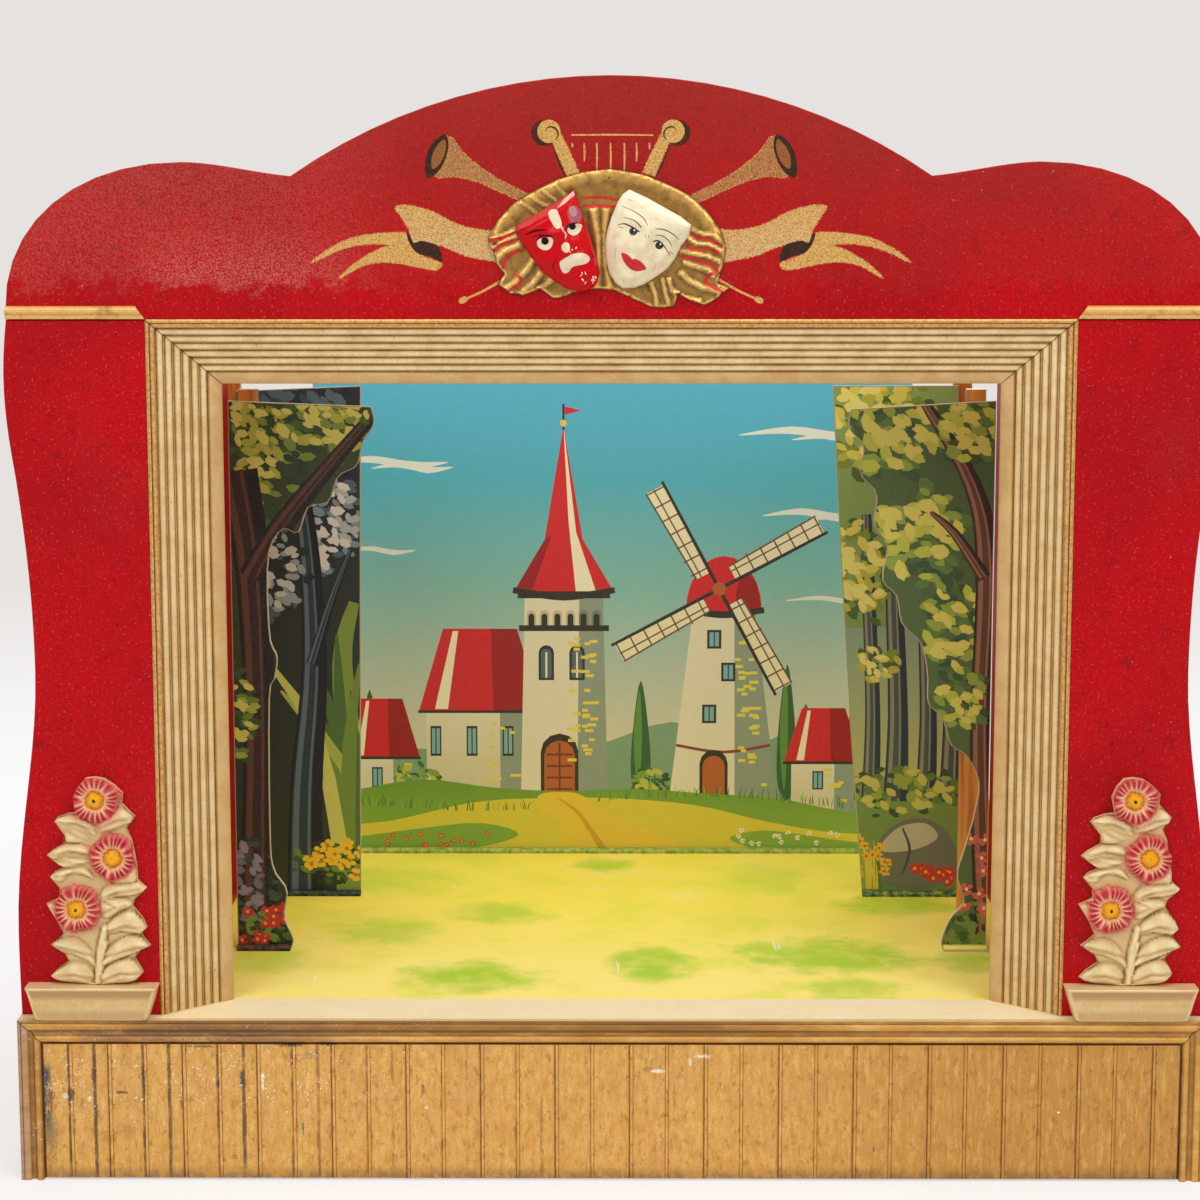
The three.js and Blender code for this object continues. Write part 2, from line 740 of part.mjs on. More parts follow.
// One flower: a boss, a quirk round it and a ring of petals. A ring is a share of the radius and the rise.
const flowerRingShares = [[1, 0.62], [0.8, 0.84], [0.5, 0.74], [0.4, 0.62], [0.33, 0.86], [0.16, 1]];
const petalDipShare = 0.92;

function flowerGeometry(x, z) {
  const count = petalCount * 2;
  const outline = Array.from({ length: count }, (_, i) => {
    const angle = (2 * Math.PI * i) / count;
    const radius = flowerRadius * (i % 2 ? 1 : petalDipShare);
    return [radius * Math.cos(angle), radius * Math.sin(angle)];
  });
  const rings = flowerRingShares.map(([shrink, share]) => [shrink, () => flowerProud * share]);
  return relief(outline, rings, -fit).translate(x, 0, z);
}

// One pointed leaf from the stem to its tip: shares of its length and half width, then its rings.
const leafEdgeShares = [
  [-0.5, 0], [-0.36, -0.55], [-0.05, -1], [0.28, -0.7], [0.5, 0], [0.3, 0.55], [0, 0.9], [-0.32, 0.7],
];
const leafRingShares = [[1, 0.5], [0.72, 0.88], [0.3, 1]];
const leafDroopShare = 0.35; // how much lower the tip lies than the stem

function leafGeometry(root, tip) {
  const along = new THREE.Vector2(tip[0] - root[0], tip[1] - root[1]);
  const length = along.length();
  const outline = leafEdgeShares.map(([a, b]) => [a * length, b * leafHalf]);
  const rise = (share) => (x) => leafProud * share * (1 - (leafDroopShare * x) / length);
  const rings = leafRingShares.map(([shrink, share]) => [shrink, rise(share)]);
  const leaf = relief(outline, rings, -fit).rotateY(-along.angle());
  return leaf.translate((root[0] + tip[0]) / 2, 0, (root[1] + tip[1]) / 2);
}

// The stalk's edge, its flowers, and each leaf's tip and root, as shares of its half width and its height.
const stalkEdgeShares = [
  [-0.96, 0.034], [-0.82, 0.068], [-0.6, 0.106], [-0.66, 0.14], [-0.94, 0.186], [-0.8, 0.211],
  [-0.68, 0.24], [-0.79, 0.299], [-1, 0.383], [-0.85, 0.4], [-0.73, 0.416], [-0.74, 0.458],
  [-0.92, 0.512], [-0.83, 0.537], [-0.63, 0.557], [-0.73, 0.575], [-0.97, 0.616], [-0.85, 0.641],
  [-0.6, 0.675], [-0.6, 0.716], [-0.81, 0.778], [-0.74, 0.799], [-0.54, 0.816], [-0.35, 0.823],
  [-0.41, 0.899], [-0.32, 0.948], [-0.18, 0.986], [0, 0.991], [0.18, 0.983], [0.37, 0.953],
  [0.53, 0.915], [0.51, 0.866], [0.63, 0.833], [0.76, 0.801], [0.69, 0.775], [0.59, 0.746],
  [0.68, 0.692], [0.74, 0.617], [0.77, 0.567], [0.78, 0.5], [0.86, 0.479], [0.95, 0.461], [0.87, 0.438],
  [0.72, 0.408], [0.67, 0.375], [0.78, 0.341], [0.88, 0.308], [0.94, 0.269], [0.83, 0.245],
  [0.87, 0.22], [1, 0.182], [0.83, 0.165], [0.69, 0.123], [0.79, 0.081], [0.85, 0.052], [0.71, 0.018],
  [0.54, 0.001], [-0.6, 0.002], [-0.83, 0.012],
];
const flowerPlaceShares = [[0.01, 0.886], [0.33, 0.61], [-0.4, 0.364]];
const leafPlaceShares = [
  [[-0.81, 0.778], [0.02, 0.74]], [[-0.61, 0.7], [-0.05, 0.68]], [[-0.97, 0.616], [-0.06, 0.64]],
  [[-0.92, 0.512], [0, 0.5]], [[-1, 0.383], [-0.2, 0.34]], [[-0.94, 0.186], [0, 0.1]],
  [[-0.96, 0.034], [0, 0.05]], [[0.76, 0.8], [0, 0.75]], [[0.78, 0.53], [0.1, 0.51]],
  [[0.95, 0.461], [0.05, 0.42]], [[0.68, 0.379], [0.05, 0.35]], [[0.94, 0.269], [0.05, 0.26]],
  [[1, 0.182], [0, 0.11]], [[0.85, 0.052], [0, 0.04]],
];

function flowerStalkGeometry(centre) {
  const place = ([across, up]) => [(across * flowerStalkWide) / 2, up * flowerStalkTall];
  const edge = shapeOf(stalkEdgeShares.map(place));
  let solid = toSolid(plate(edge, -fit - plasterCore, plasterCore));
  for (const [tip, root] of leafPlaceShares) {
    solid = solid.add(toSolid(leafGeometry(place(root), place(tip))));
  }
  for (const share of flowerPlaceShares) {
    solid = solid.add(toSolid(flowerGeometry(...place(share))));
  }
  solid = solid.intersect(toSolid(plate(edge, -flowerProud * 2, flowerProud * 2)));
  return toGeometry(solid).translate(centre, 0, boxHeight + planterTall + fit);
}

function ornaments() {
  const group = new THREE.Group();
  group.add(
    piece("planter_left", planterGeometry(planterInset - boxHalf), champagne()),
    piece("planter_right", planterGeometry(boxHalf - planterInset), champagne()),
    piece("flower_stalk_left", flowerStalkGeometry(leftStalkInset - boxHalf), plaster()),
    piece("flower_stalk_right", flowerStalkGeometry(boxHalf - rightStalkInset), plaster()),
  );
  return group;
}

// Scenery cards: each inner edge is a list of [inward, up] shares of the card's width and height.
const leftTreeShares = [
  [0.37, 0], [0.39, 0.02], [0.33, 0.06], [0.35, 0.11], [0.26, 0.15], [0.24, 0.22], [0.25, 0.46],
  [0.29, 0.5], [0.31, 0.54], [0.26, 0.58], [0.26, 0.72], [0.36, 0.77], [0.47, 0.765], [0.54, 0.81],
  [0.68, 0.82], [0.75, 0.865], [0.88, 0.885], [0.92, 0.925], [1, 0.96], [0.98, 0.99],
];
const rightTreeShares = [
  [0.3, 0], [0.31, 0.02], [0.25, 0.06], [0.16, 0.09], [0.21, 0.14], [0.16, 0.19], [0.1, 0.25],
  [0.07, 0.31], [0.16, 0.36], [0.27, 0.38], [0.33, 0.43], [0.43, 0.455], [0.44, 0.51], [0.49, 0.565],
  [0.62, 0.6], [0.66, 0.65], [0.76, 0.68], [0.73, 0.74], [0.82, 0.78], [0.81, 0.835], [0.92, 0.87],
  [0.9, 0.92], [1, 0.95], [0.99, 0.985],
];
const leftBackShares = [[0.95, 0], [0.97, 0.5], [1, 1]];
const rightBackShares = [[0.96, 0], [1, 0.5], [1, 1]];

function leaned(geometry, lean) {
  return reshaped(geometry, (x, y, z) => [x + (lean * Math.max(z - boxHeight, 0)) / cardTall, y, z]);
}

function cardGeometry(card) {
  const { side, outer, wide, y, innerShares, outerTopShare, lean } = card;
  const shape = new THREE.Shape();
  const inner = innerShares.map(([inward, up]) => {
    return new THREE.Vector2(side * (outer - inward * wide), boxHeight + up * cardTall);
  });
  shape.moveTo(side * outer, boxHeight);
  shape.lineTo(inner[0].x, inner[0].y);
  shape.splineThru(inner.slice(1));
  shape.lineTo(side * outer, boxHeight + cardTall * outerTopShare);
  const curved = innerShares.length > 3;
  const geometry = new THREE.ExtrudeGeometry(shape, {
    depth: cardBoard, bevelEnabled: false, curveSegments: curved ? 3 : 1,
  });
  return leaned(geometry.rotateX(Math.PI / 2).translate(0, y + cardBoard, 0), lean);
}

// A low cleat on the deck along the front of a card's foot.
function cleat(name, low, high, y) {
  const top = boxHeight + cleatTall;
  const section = shapeOf([
    [y - cleatDeep, boxHeight], [y, boxHeight], [y, top], [y - cleatDeep + cleatBevel, top],
    [y - cleatDeep, top - cleatBevel],
  ]);
  return piece(name, barAcross(section, low, high - low), printed(0xe2d36a));
}

// A varnished upright with a tenon that plugs into the deck.
function uprightGeometry(x, y, lean) {
  const shaft = new THREE.BoxGeometry(uprightWide, uprightThick, uprightTall);
  const tenon = new THREE.BoxGeometry(tenonWide, tenonThick, deckBoard * 2);
  const solid = toSolid(leaned(shaft.translate(x, y, boxHeight + uprightTall / 2), lean));
  return toGeometry(solid.add(toSolid(tenon.translate(x, y, boxHeight))));
}

const cardTurnedIn = frameHalf - wallBoard;
const frontCovered = uprightWide + frontCardGap;
const cards = [
  {
    word: "front_left", side: -1, outer: cardTurnedIn - frontCardGap, wide: frontCardWide, y: frontSetback,
    innerShares: leftTreeShares, outerTopShare: 1, colour: 0x6e7d2c, covered: frontCovered, lean: 0,
  },
  {
    word: "front_right", side: 1, outer: cardTurnedIn - frontCardGap, wide: frontCardWide, y: frontSetback,
    innerShares: rightTreeShares, outerTopShare: 1, colour: 0x3c5227, covered: frontCovered, lean: 0,
  },
  {
    word: "back_left", side: -1, outer: cardTurnedIn - backCardGap, wide: backCardWide, y: backSetback,
    innerShares: leftBackShares, outerTopShare: 0.99, colour: 0x2c4a3a, covered: uprightLap, lean: 0,
  },
  {
    word: "back_right", side: 1, outer: cardTurnedIn - backCardGap, wide: backCardWide, y: backSetback,
    innerShares: rightBackShares, outerTopShare: 1, colour: 0x4f7a2e, covered: uprightLap, lean: -cardLean,
  },
];
const uprightBehind = cardBoard + uprightThick / 2;

// A front upright hides behind its card and a back one stands out past its card's outer edge.
function uprightPlace(card) {
  const inset = card.covered > uprightWide ? uprightWide : card.covered - uprightWide / 2;
  return { x: card.side * (card.outer - inset), y: card.y + uprightBehind };
}

const backdropHalf = openingHalf * backdropShare;
const backdropUprights = [-1, 1].map((side) => ({
  x: side * (backdropHalf - uprightWide),
  y: backdropSetback + uprightBehind,
}));
const cardUprights = cards.map(uprightPlace);

function scenery() {
  const group = new THREE.Group();
  cards.forEach((card, i) => {
    const { word, side, outer, wide, y } = card;
    const { x, y: behind } = cardUprights[i];
    const reach = card.innerShares[0][0] * wide;
    const ends = [side * outer, side * (outer - reach)].sort((a, b) => a - b);
    group.add(
      piece("flat_" + word, cardGeometry(card), printed(card.colour)),
      piece("upright_" + word, uprightGeometry(x, behind, card.lean), varnished()),
      cleat("cleat_" + word, ends[0], ends[1], y),
    );
  });
  const top = boxHeight + cardTall;
  const back = backdropSetback + cardBoard;
  const railHalf = backdropHalf - uprightWide * 1.5;
  group.add(
    board("backdrop", [-backdropHalf, backdropSetback, boxHeight], [backdropHalf, back, top],
      printed(0x6fb0bc)),
    board("backdrop_rail", [-railHalf, back, top - railTall], [railHalf, back + uprightThick, top],
      varnished()),
    cleat("cleat_backdrop", -backdropHalf, backdropHalf, backdropSetback),
  );
  backdropUprights.forEach(({ x, y }) => {
    const name = "upright_backdrop_" + (x < 0 ? "left" : "right");
    group.add(piece(name, uprightGeometry(x, y, 0), varnished()));
  });
  return group;
}

const surround = mitredFrame(["reeded_top", "reeded_left", "reeded_right"],
  reededSection(), frameHalf, jointTop, boxHeight, cream);

const theatre = new THREE.Group();
theatre.name = "puppet_theatre";
theatre.add(stageBox([...cardUprights, ...backdropUprights]), proscenium(), ...surround);
theatre.add(crest(), ornaments(), scenery());
theatre.position.set(0, -middleDepth, 0);

export default theatre;
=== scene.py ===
import math
import random

import bpy
from mathutils import Matrix, Vector
from mathutils.geometry import delaunay_2d_cdt


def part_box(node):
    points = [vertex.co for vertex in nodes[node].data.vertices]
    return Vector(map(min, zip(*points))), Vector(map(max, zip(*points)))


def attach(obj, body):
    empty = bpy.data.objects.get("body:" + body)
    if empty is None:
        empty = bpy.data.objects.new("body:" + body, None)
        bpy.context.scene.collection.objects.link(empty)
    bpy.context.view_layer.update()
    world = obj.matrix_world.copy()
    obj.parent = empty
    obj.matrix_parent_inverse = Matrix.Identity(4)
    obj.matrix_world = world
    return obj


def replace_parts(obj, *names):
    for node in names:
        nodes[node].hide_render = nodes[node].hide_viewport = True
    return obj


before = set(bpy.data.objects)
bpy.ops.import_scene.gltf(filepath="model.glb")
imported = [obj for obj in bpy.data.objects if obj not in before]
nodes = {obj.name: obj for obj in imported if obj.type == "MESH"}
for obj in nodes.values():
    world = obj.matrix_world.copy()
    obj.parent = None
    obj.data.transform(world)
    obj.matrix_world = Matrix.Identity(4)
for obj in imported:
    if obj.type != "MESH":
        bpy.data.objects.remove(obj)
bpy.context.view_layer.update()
mm = 0.001
benchBack = 244.5 * mm  # the red panels' face is this far in front of the middle
print("frame loaded with", len(nodes), "nodes")


# Colours are written as they look on screen and turned into Blender's linear values

def tint(text, alpha=1.0):
    parts = [int(text[i:i + 2], 16) / 255 for i in (0, 2, 4)]
    linear = [c / 12.92 if c <= 0.04045 else ((c + 0.055) / 1.055) ** 2.4 for c in parts]
    return (*linear, alpha)


# A material's looks: what its nodes give can be added, multiplied, eased and blended like numbers and colours

class Value:
    def __init__(self, look, socket):
        self.look, self.socket = look, socket

    def __add__(self, other):
        return self.look.math("ADD", self, other)

    def __radd__(self, other):
        return self.look.math("ADD", other, self)

    def __sub__(self, other):
        return self.look.math("SUBTRACT", self, other)

    def __rsub__(self, other):
        return self.look.math("SUBTRACT", other, self)

    def __mul__(self, other):
        return self.look.math("MULTIPLY", self, other)

    def __truediv__(self, other):
        return self.look.math("DIVIDE", self, other)

    def __abs__(self):
        return self.look.math("ABSOLUTE", self)

    def ease(self, low, high, toLow=0.0, toHigh=1.0):
        # a soft step; low may be above high
        if low > high:
            low, high, toLow, toHigh = high, low, toHigh, toLow
        return self.look.node("MapRange", "Result",
                              {"Value": self, "From Min": low, "From Max": high, "To Min": toLow,
                               "To Max": toHigh}, interpolation_type="SMOOTHSTEP")

    def blend(self, a, b, kind="MIX"):
        return self.look.node("Mix", 2, {"Factor": self, 6: a, 7: b}, data_type="RGBA", blend_type=kind)

    def ramp(self, *stops):
        node = self.look.tree.nodes.new("ShaderNodeValToRGB")
        bands = node.color_ramp.elements
        while len(bands) < len(stops):
            bands.new(0.5)
        for band, (place, colour) in zip(bands, stops):
            band.position = place
            band.color = tint(colour)
        self.look.feed(node.inputs["Fac"], self)
        return Value(self.look, node.outputs["Color"])


class Look:
    def __init__(self, name, roughness=0.5, metallic=0.0, specular=0.5):
        self.material = bpy.data.materials.new(name)
        self.material.use_nodes = True
        self.tree = self.material.node_tree
        self.give("Roughness", roughness)
        self.give("Metallic", metallic)
        self.give("Specular IOR Level", specular)

    def give(self, word, source):
        self.feed(self.tree.nodes["Principled BSDF"].inputs[word], source)

    def feed(self, target, source):
        # a value is linked, and a plain number or colour is typed into the target
        if isinstance(source, Value):
            self.tree.links.new(source.socket, target)
        else:
            target.default_value = tint(source) if isinstance(source, str) else source

    def node(self, kind, output, inputs, **settings):
        node = self.tree.nodes.new("ShaderNode" + kind)
        for word, setting in settings.items():
            setattr(node, word, setting)
        for word, source in inputs.items():
            self.feed(node.inputs[word], source)
        return Value(self, node.outputs[output])

    def math(self, operation, a, b=0.0):
        return self.node("Math", "Value", {0: a, 1: b}, operation=operation)

    def places(self, stretch=(1, 1, 1), turn=(0, 0, 0)):
        where = self.node("TexCoord", "Object", {})
        return self.node("Mapping", "Vector", {"Scale": stretch, "Rotation": turn, "Vector": where})

    # sizes of noise and depths of relief are in millimetres
    def noise(self, size, detail=3.0, rough=0.5, stretch=(1, 1, 1), turn=(0, 0, 0), warp=0.0):
        node = self.tree.nodes.new("ShaderNodeTexNoise")
        for word, source in (("Vector", self.places(stretch, turn)), ("Scale", 1 / (size * mm)),
                             ("Detail", detail), ("Roughness", rough), ("Distortion", warp)):
            self.feed(node.inputs[word], source)
        return Value(self, node.outputs["Fac"])

    def place(self, axis):
        # one coordinate of the point, in metres
        node = self.tree.nodes.new("ShaderNodeSeparateXYZ")
        self.feed(node.inputs["Vector"], self.places())
        return Value(self, node.outputs[axis])

    def attribute(self, word, output="Fac"):
        return self.node("Attribute", output, {}, attribute_name=word)

    def facing(self, axis):
        # one part of the normal, for colours that go by which way a face looks: the crest's dust on its
        # front, cut edges, cream on upward faces and painted light on the planters' upward faces
        node = self.tree.nodes.new("ShaderNodeNewGeometry")
        split = self.tree.nodes.new("ShaderNodeSeparateXYZ")
        self.tree.links.new(node.outputs["Normal"], split.inputs["Vector"])
        return Value(self, split.outputs[axis])

    def relief(self, height, distance, strength=1.0):
        # bumps as deep as the distance
        self.give("Normal",
                  self.node("Bump", "Normal",
                            {"Strength": strength, "Distance": distance * mm, "Height": height}))


# Paints and woods

redPaint = {"coat": "bb0610", "deep": "a4050d", "haze": "b04a42", "stain": "3c0a0c", "pebble": 2.6,
            "cleanBand": (0.603, 0.615), "dust": "7c2e24", "bloom": "c86a60"}
goldPaint = {"light": "e8b86a", "bright": "e0b064", "plain": "c99648", "deep": "94662a", "wear": "4a3420",
             "fleck": "e6ddc8"}
creamPaint = {"coat": "eed7a4", "pale": "f6e6c0", "grime": "c8a66a"}
plyWood = {"pale": "c9a373", "plain": "b48a58", "grain": "8d6538"}
varnishWood = {"pale": "e0a04c", "plain": "cd8232", "grain": "96531a"}


def redLacquer(name, haze=0.5, painted=False):
    # pebbly sprayed lacquer with dusty patches; painted adds the ink on it, thin where its alpha is low
    look = Look(name, roughness=0.42, specular=0.1)
    p = redPaint
    cloud = look.noise(90, 4)
    base = cloud.ease(0.35, 0.7).blend(p["coat"], p["deep"])
    pebbles = look.noise(p["pebble"], 2.5, 0.55)
    base = pebbles.ease(0.38, 0.66, 0, 0.8).blend(base, p["deep"])
    dust = look.noise(75, 5, 0.6).ease(0.5, 0.72) * look.noise(1.8, 3, 0.8).ease(0.35, 0.65)
    base = (dust * haze).blend(base, p["haze"])
    freckles = look.noise(5, 2, 0.5).ease(0.68, 0.74, 0, 0.5)
    spots = look.noise(34, 5, 0.65).ease(0.72, 0.78, 0, 0.6)
    base = look.math("MAXIMUM", spots, freckles).blend(base, p["stain"])
    smudge = look.noise(11, 7, 0.8).ease(0.53, 0.68, 0, 0.34)
    base = smudge.blend(base, p["stain"])
    glints = look.noise(1.7, 2, 0.6).ease(0.6, 0.72, 0, 0.55)
    base = glints.blend(base, "d84a4c")
    white = look.noise(3.1, 1).ease(0.79, 0.82, 0, 0.55)
    base = white.blend(base, "e0a9a2")
    if painted:
        # powdery above a clean red band: darkest at the top, palest low on the left, where the powder lies
        # with a painted sheen
        up, across = look.place("Z"), look.place("X")
        powder = look.noise(0.9, 3, 0.75)
        wavy = look.noise(12, 4, 0.7).ease(0.3, 0.7, -0.008, 0.008)
        above = (up + wavy).ease(*p["cleanBand"]) * look.facing("Y").ease(-0.1, -0.5)
        dusty = up.ease(0.62, 0.735, 0.14, 0.66) * powder.ease(0.3, 0.62, 0.3, 1)
        base = (dusty * above).blend(base, p["dust"])
        left = across.ease(-0.12, -0.23, 0.12, 1)
        lying = up.ease(0.655, 0.61, 0, 0.5) * abs(across + 0.235).ease(0.09, 0.05)
        # palest low on the left: pale powder, with a painted sheen of the lamps on the lacquer
        pale = (up.ease(0.73, 0.61, 0.3, 0.36) + lying) * powder.ease(0.44, 0.6)
        base = (pale * left * above).blend(base, p["bloom"])
        soot = look.noise(7, 6, 0.75).ease(0.56, 0.66, 0, 0.4) * up.ease(0.64, 0.69)
        base = soot.blend(base, "74201e")
        grain = look.noise(0.55, 2, 0.7).ease(0.32, 0.68)
        ink = look.attribute("ink", "Color")
        thick = Value(look, ink.socket.node.outputs["Alpha"])
        cover = (grain - (1.0 - thick)).ease(-0.06, 0.1) * thick.ease(0.02, 0.08)
        speckle = look.noise(0.8, 3, 0.8).ease(0.54, 0.64, 0, 0.75) * ink.ease(0.05, 0.2)
        gilt = speckle.blend(ink, "6e2a1c")
        spark = grain.ease(0.6, 0.9, 0, 0.5) * ink.ease(0.16, 0.3)
        base = cover.blend(base, spark.blend(gilt, "ecc880"))
        look.give("Metallic", cover * 0.15)
    look.give("Base Color", base)
    look.give("Roughness", cloud.ease(0.2, 0.8, 0.34, 0.52))
    look.relief(pebbles, 0.6, 0.8)
    return look.material


def goldCoat(name, wear, metallic, stretch=(1, 1, 1), tone="plain"):
    look = Look(name, roughness=0.45, metallic=metallic)
    p = goldPaint
    mottled = look.noise(14, 6, 0.65, stretch=stretch)
    fine = look.noise(1.1, 3, 0.7)
    base = mottled.ramp((0.2, p["deep"]), (0.45, p[tone]), (0.72, p["bright"]))
    base = fine.ease(0.35, 0.65, 0, 0.35).blend(base, p["deep"])
    rub = look.noise(30, 7, 0.72, stretch=stretch).ease(0.56, 0.7) * wear
    base = rub.blend(base, p["wear"])
    chips = look.noise(5, 5, 0.8).ease(0.72, 0.76) * 0.8
    base = chips.blend(base, p["fleck"])
    look.give("Base Color", base)
    look.give("Roughness", fine.ease(0.2, 0.8, 0.36, 0.6))
    look.relief(fine, 0.12, 0.6)
    return look.material


def creamCoat(name, grime):
    look = Look(name, roughness=0.5, specular=0.3)
    p = creamPaint
    cloud = look.noise(40, 5, 0.6)
    base = cloud.blend(p["coat"], p["pale"])
    dirt = look.noise(12, 6, 0.7).ease(0.5, 0.72) * grime
    base = dirt.blend(base, p["grime"])
    look.give("Base Color", base)
    look.relief(look.noise(1.6, 4), 0.12, 0.5)
    return look.material


def woodGrain(name, palette, along="X", roughness=0.6):
    look = Look(name, roughness=roughness)
    stretch = {"X": (0.06, 1, 1), "Y": (1, 0.06, 1), "Z": (1, 1, 0.06)}[along]
    wide = look.noise(9, 5, 0.6, stretch=stretch, warp=0.6)
    thin = look.noise(1.2, 4, 0.7, stretch=stretch)
    base = wide.ramp((0.3, palette["grain"]), (0.5, palette["plain"]), (0.72, palette["pale"]))
    base = thin.ease(0.5, 0.75, 0, 0.5).blend(base, palette["grain"])
    look.give("Base Color", base)
    look.relief(thin, 0.15, 0.5)
    return look.material


redBoards = redLacquer("redLacquer", haze=0.12)
crestRed = redLacquer("crestLacquer", haze=0.1, painted=True)


def finish(name, material):
    nodes[name].data.materials.clear()
    nodes[name].data.materials.append(material)


corners = ["front_left", "front_right", "back_left", "back_right"]
sides = ["left", "right"]
finishes = [
    (redLacquer("wallLacquer", haze=0.1), ["side_wall_" + side for side in sides]),
    (goldCoat("boxGold", wear=0.2, metallic=0.25, stretch=(0.3, 0.3, 1)),
     ["base_side_left", "base_side_right", "base_back_board"]),
    (goldCoat("stripGold", wear=0.12, metallic=0.35, tone="light"),
     ["crest_strip_" + side for side in sides]), (creamCoat("apronCream", grime=0.15), ["apron_board"]),
    (woodGrain("plyAcross", plyWood, "X"), ["base_front_board", "floor_bearer", "crest_header"]),
    (woodGrain("plyUp", plyWood, "Z"),
     ["corner_block_" + corner for corner in corners]
     + [word + side for word in ("corner_batten_", "tongue_keeper_", "crest_tongue_") for side in sides]),
    (woodGrain("slatWood", varnishWood, "Z", roughness=0.35),
     ["upright_" + place for place in corners + ["backdrop_left", "backdrop_right"]]),
    (woodGrain("railWood", varnishWood, "X", roughness=0.35), ["backdrop_rail"])]
for material, names in finishes:
    for name in names:
        finish(name, material)
print("finishes on the carried-over pieces")


# Flat shapes drawn in millimetres, x to the right and z up

def smoothLoop(points, steps=5, closed=True):
    # a curve through all the points
    count = len(points)
    spans = count if closed else count - 1
    loop = []
    for i in range(spans):
        a, b, c, d = (points[(i + k) % count] if closed else points[min(max(i + k, 0), count - 1)]
                      for k in (-1, 0, 1, 2))
        for step in range(steps):
            t = step / steps
            loop.append(tuple(0.5 * (2 * b[k] + (c[k] - a[k]) * t
                                     + (2 * a[k] - 5 * b[k] + 4 * c[k] - d[k]) * t * t
                                     + (3 * b[k] - a[k] - 3 * c[k] + d[k]) * t ** 3) for k in (0, 1)))
    if not closed:
        loop.append(points[-1])
    return loop


def oval(x, z, across, up, steps=12, turn=0.0):
    spots = []
    for i in range(steps):
        angle = 2 * math.pi * i / steps
        a, b = across * math.cos(angle), up * math.sin(angle)
        spots.append((x + a * math.cos(turn) - b * math.sin(turn),
                      z + a * math.sin(turn) + b * math.cos(turn)))
    return spots


def oblong(left, low, right, high):
    return [(left, low), (right, low), (right, high), (left, high)]


def stroke(points, widths, steps=5):
    # a brush stroke along a curve, as wide at each of its points as the list says
    line = smoothLoop(points, steps, closed=False)
    left, right = [], []
    for i, (x, z) in enumerate(line):
        before, after = line[max(i - 1, 0)], line[min(i + 1, len(line) - 1)]
        along = Vector((after[0] - before[0], after[1] - before[1]))
        along = along.normalized() if along.length > 0 else Vector((1, 0))
        share = i / (len(line) - 1) * (len(widths) - 1)
        k = min(int(share), len(widths) - 2)
        half = (widths[k] + (widths[k + 1] - widths[k]) * (share - k)) / 2
        left.append((x - along.y * half, z + along.x * half))
        right.append((x + along.y * half, z - along.x * half))
    return left + right[::-1]


def dab(x, z, length, width, turn):
    # one touch of the brush, pointed at its ends
    spots = [(-0.5, 0), (-0.2, -0.5), (0.25, -0.42), (0.5, 0), (0.2, 0.5), (-0.25, 0.42)]
    c, s = math.cos(turn), math.sin(turn)
    return [(x + a * length * c - b * width * s, z + a * length * s + b * width * c) for a, b in spots]


def turnedLeft(points):
    area = sum(a[0] * b[1] - b[0] * a[1] for a, b in zip(points, points[1:] + points[:1]))
    return points if area > 0 else points[::-1]


def insetLoop(loop, amount):
    inner = []
    for i, (x, z) in enumerate(loop):
        before, after = loop[i - 1], loop[(i + 1) % len(loop)]
        one = Vector((x - before[0], z - before[1])).normalized()
        two = Vector((after[0] - x, after[1] - z)).normalized()
        inward = Vector((-one.y - two.y, one.x + two.x))
        scale = amount / max((1 + one.dot(two)) / 2, 0.35) ** 0.5
        inward = inward.normalized() * scale if inward.length > 0.01 else Vector((0, 0))
        inner.append((x + inward.x, z + inward.y))
    return inner


def insideLoop(loop, x, z):
    hit = False
    for (ax, az), (bx, bz) in zip(loop, loop[1:] + loop[:1]):
        if (az > z) != (bz > z) and x < ax + (z - az) * (bx - ax) / (bz - az):
            hit = not hit
    return hit


def borderOf(rings):
    # the edges that only one of the rings has
    edges = set()
    for ring in rings:
        for a, b in zip(ring, ring[1:] + ring[:1]):
            if (b, a) in edges:
                edges.remove((b, a))
            else:
                edges.add((a, b))
    return edges


def frontOutline(name):
    # the outline of a board's front, read off its mesh
    mesh = nodes[name].data

    def spot(index):
        place = mesh.vertices[index].co
        return round(place.x / mm, 2), round(place.z / mm, 2)

    following = dict(borderOf(([spot(i) for i in face.vertices]
                               for face in mesh.polygons if face.normal.y < -0.99)))
    loop = [min(following)]
    while following[loop[-1]] != loop[0]:
        loop.append(following[loop[-1]])
    return turnedLeft(loop)


def layered(outline, shapes, spacing=0.0, extra=()):
    # cuts the outline up along every shape's edge; the last shape that covers a patch gives its paint
    spots, rings = [], []
    for points, paint in [(outline, None)] + shapes:
        ring = turnedLeft(list(points))
        rings.append(list(range(len(spots), len(spots) + len(ring))))
        spots.extend(Vector(p) for p in ring)
    if spacing:
        spots.extend(gridInside(outline, spacing))
    spots.extend(Vector(p) for p in extra)
    found, _, patches, _, _, owners = delaunay_2d_cdt(spots, [], rings, 1, 0.002)
    kept = [(patch, max(own)) for patch, own in zip(patches, owners) if 0 in own]
    paints = [None] + [paint for _, paint in shapes]
    return found, [(patch, paints[top]) for patch, top in kept]


def gridInside(outline, spacing):
    rng = random.Random(5)
    low = [min(p[k] for p in outline) for k in (0, 1)]
    high = [max(p[k] for p in outline) for k in (0, 1)]
    rows = int((high[1] - low[1]) / spacing)
    inner = insetLoop(turnedLeft(list(outline)), spacing * 0.45)
    spots = []
    for row in range(rows + 1):
        z = low[1] + row * spacing
        for column in range(int((high[0] - low[0]) / spacing) + 1):
            x = low[0] + (column + 0.5 * (row % 2)) * spacing
            x, z2 = x + rng.uniform(-0.12, 0.12) * spacing, z + rng.uniform(-0.12, 0.12) * spacing
            if insideLoop(inner, x, z2):
                spots.append(Vector((x, z2)))
    return spots


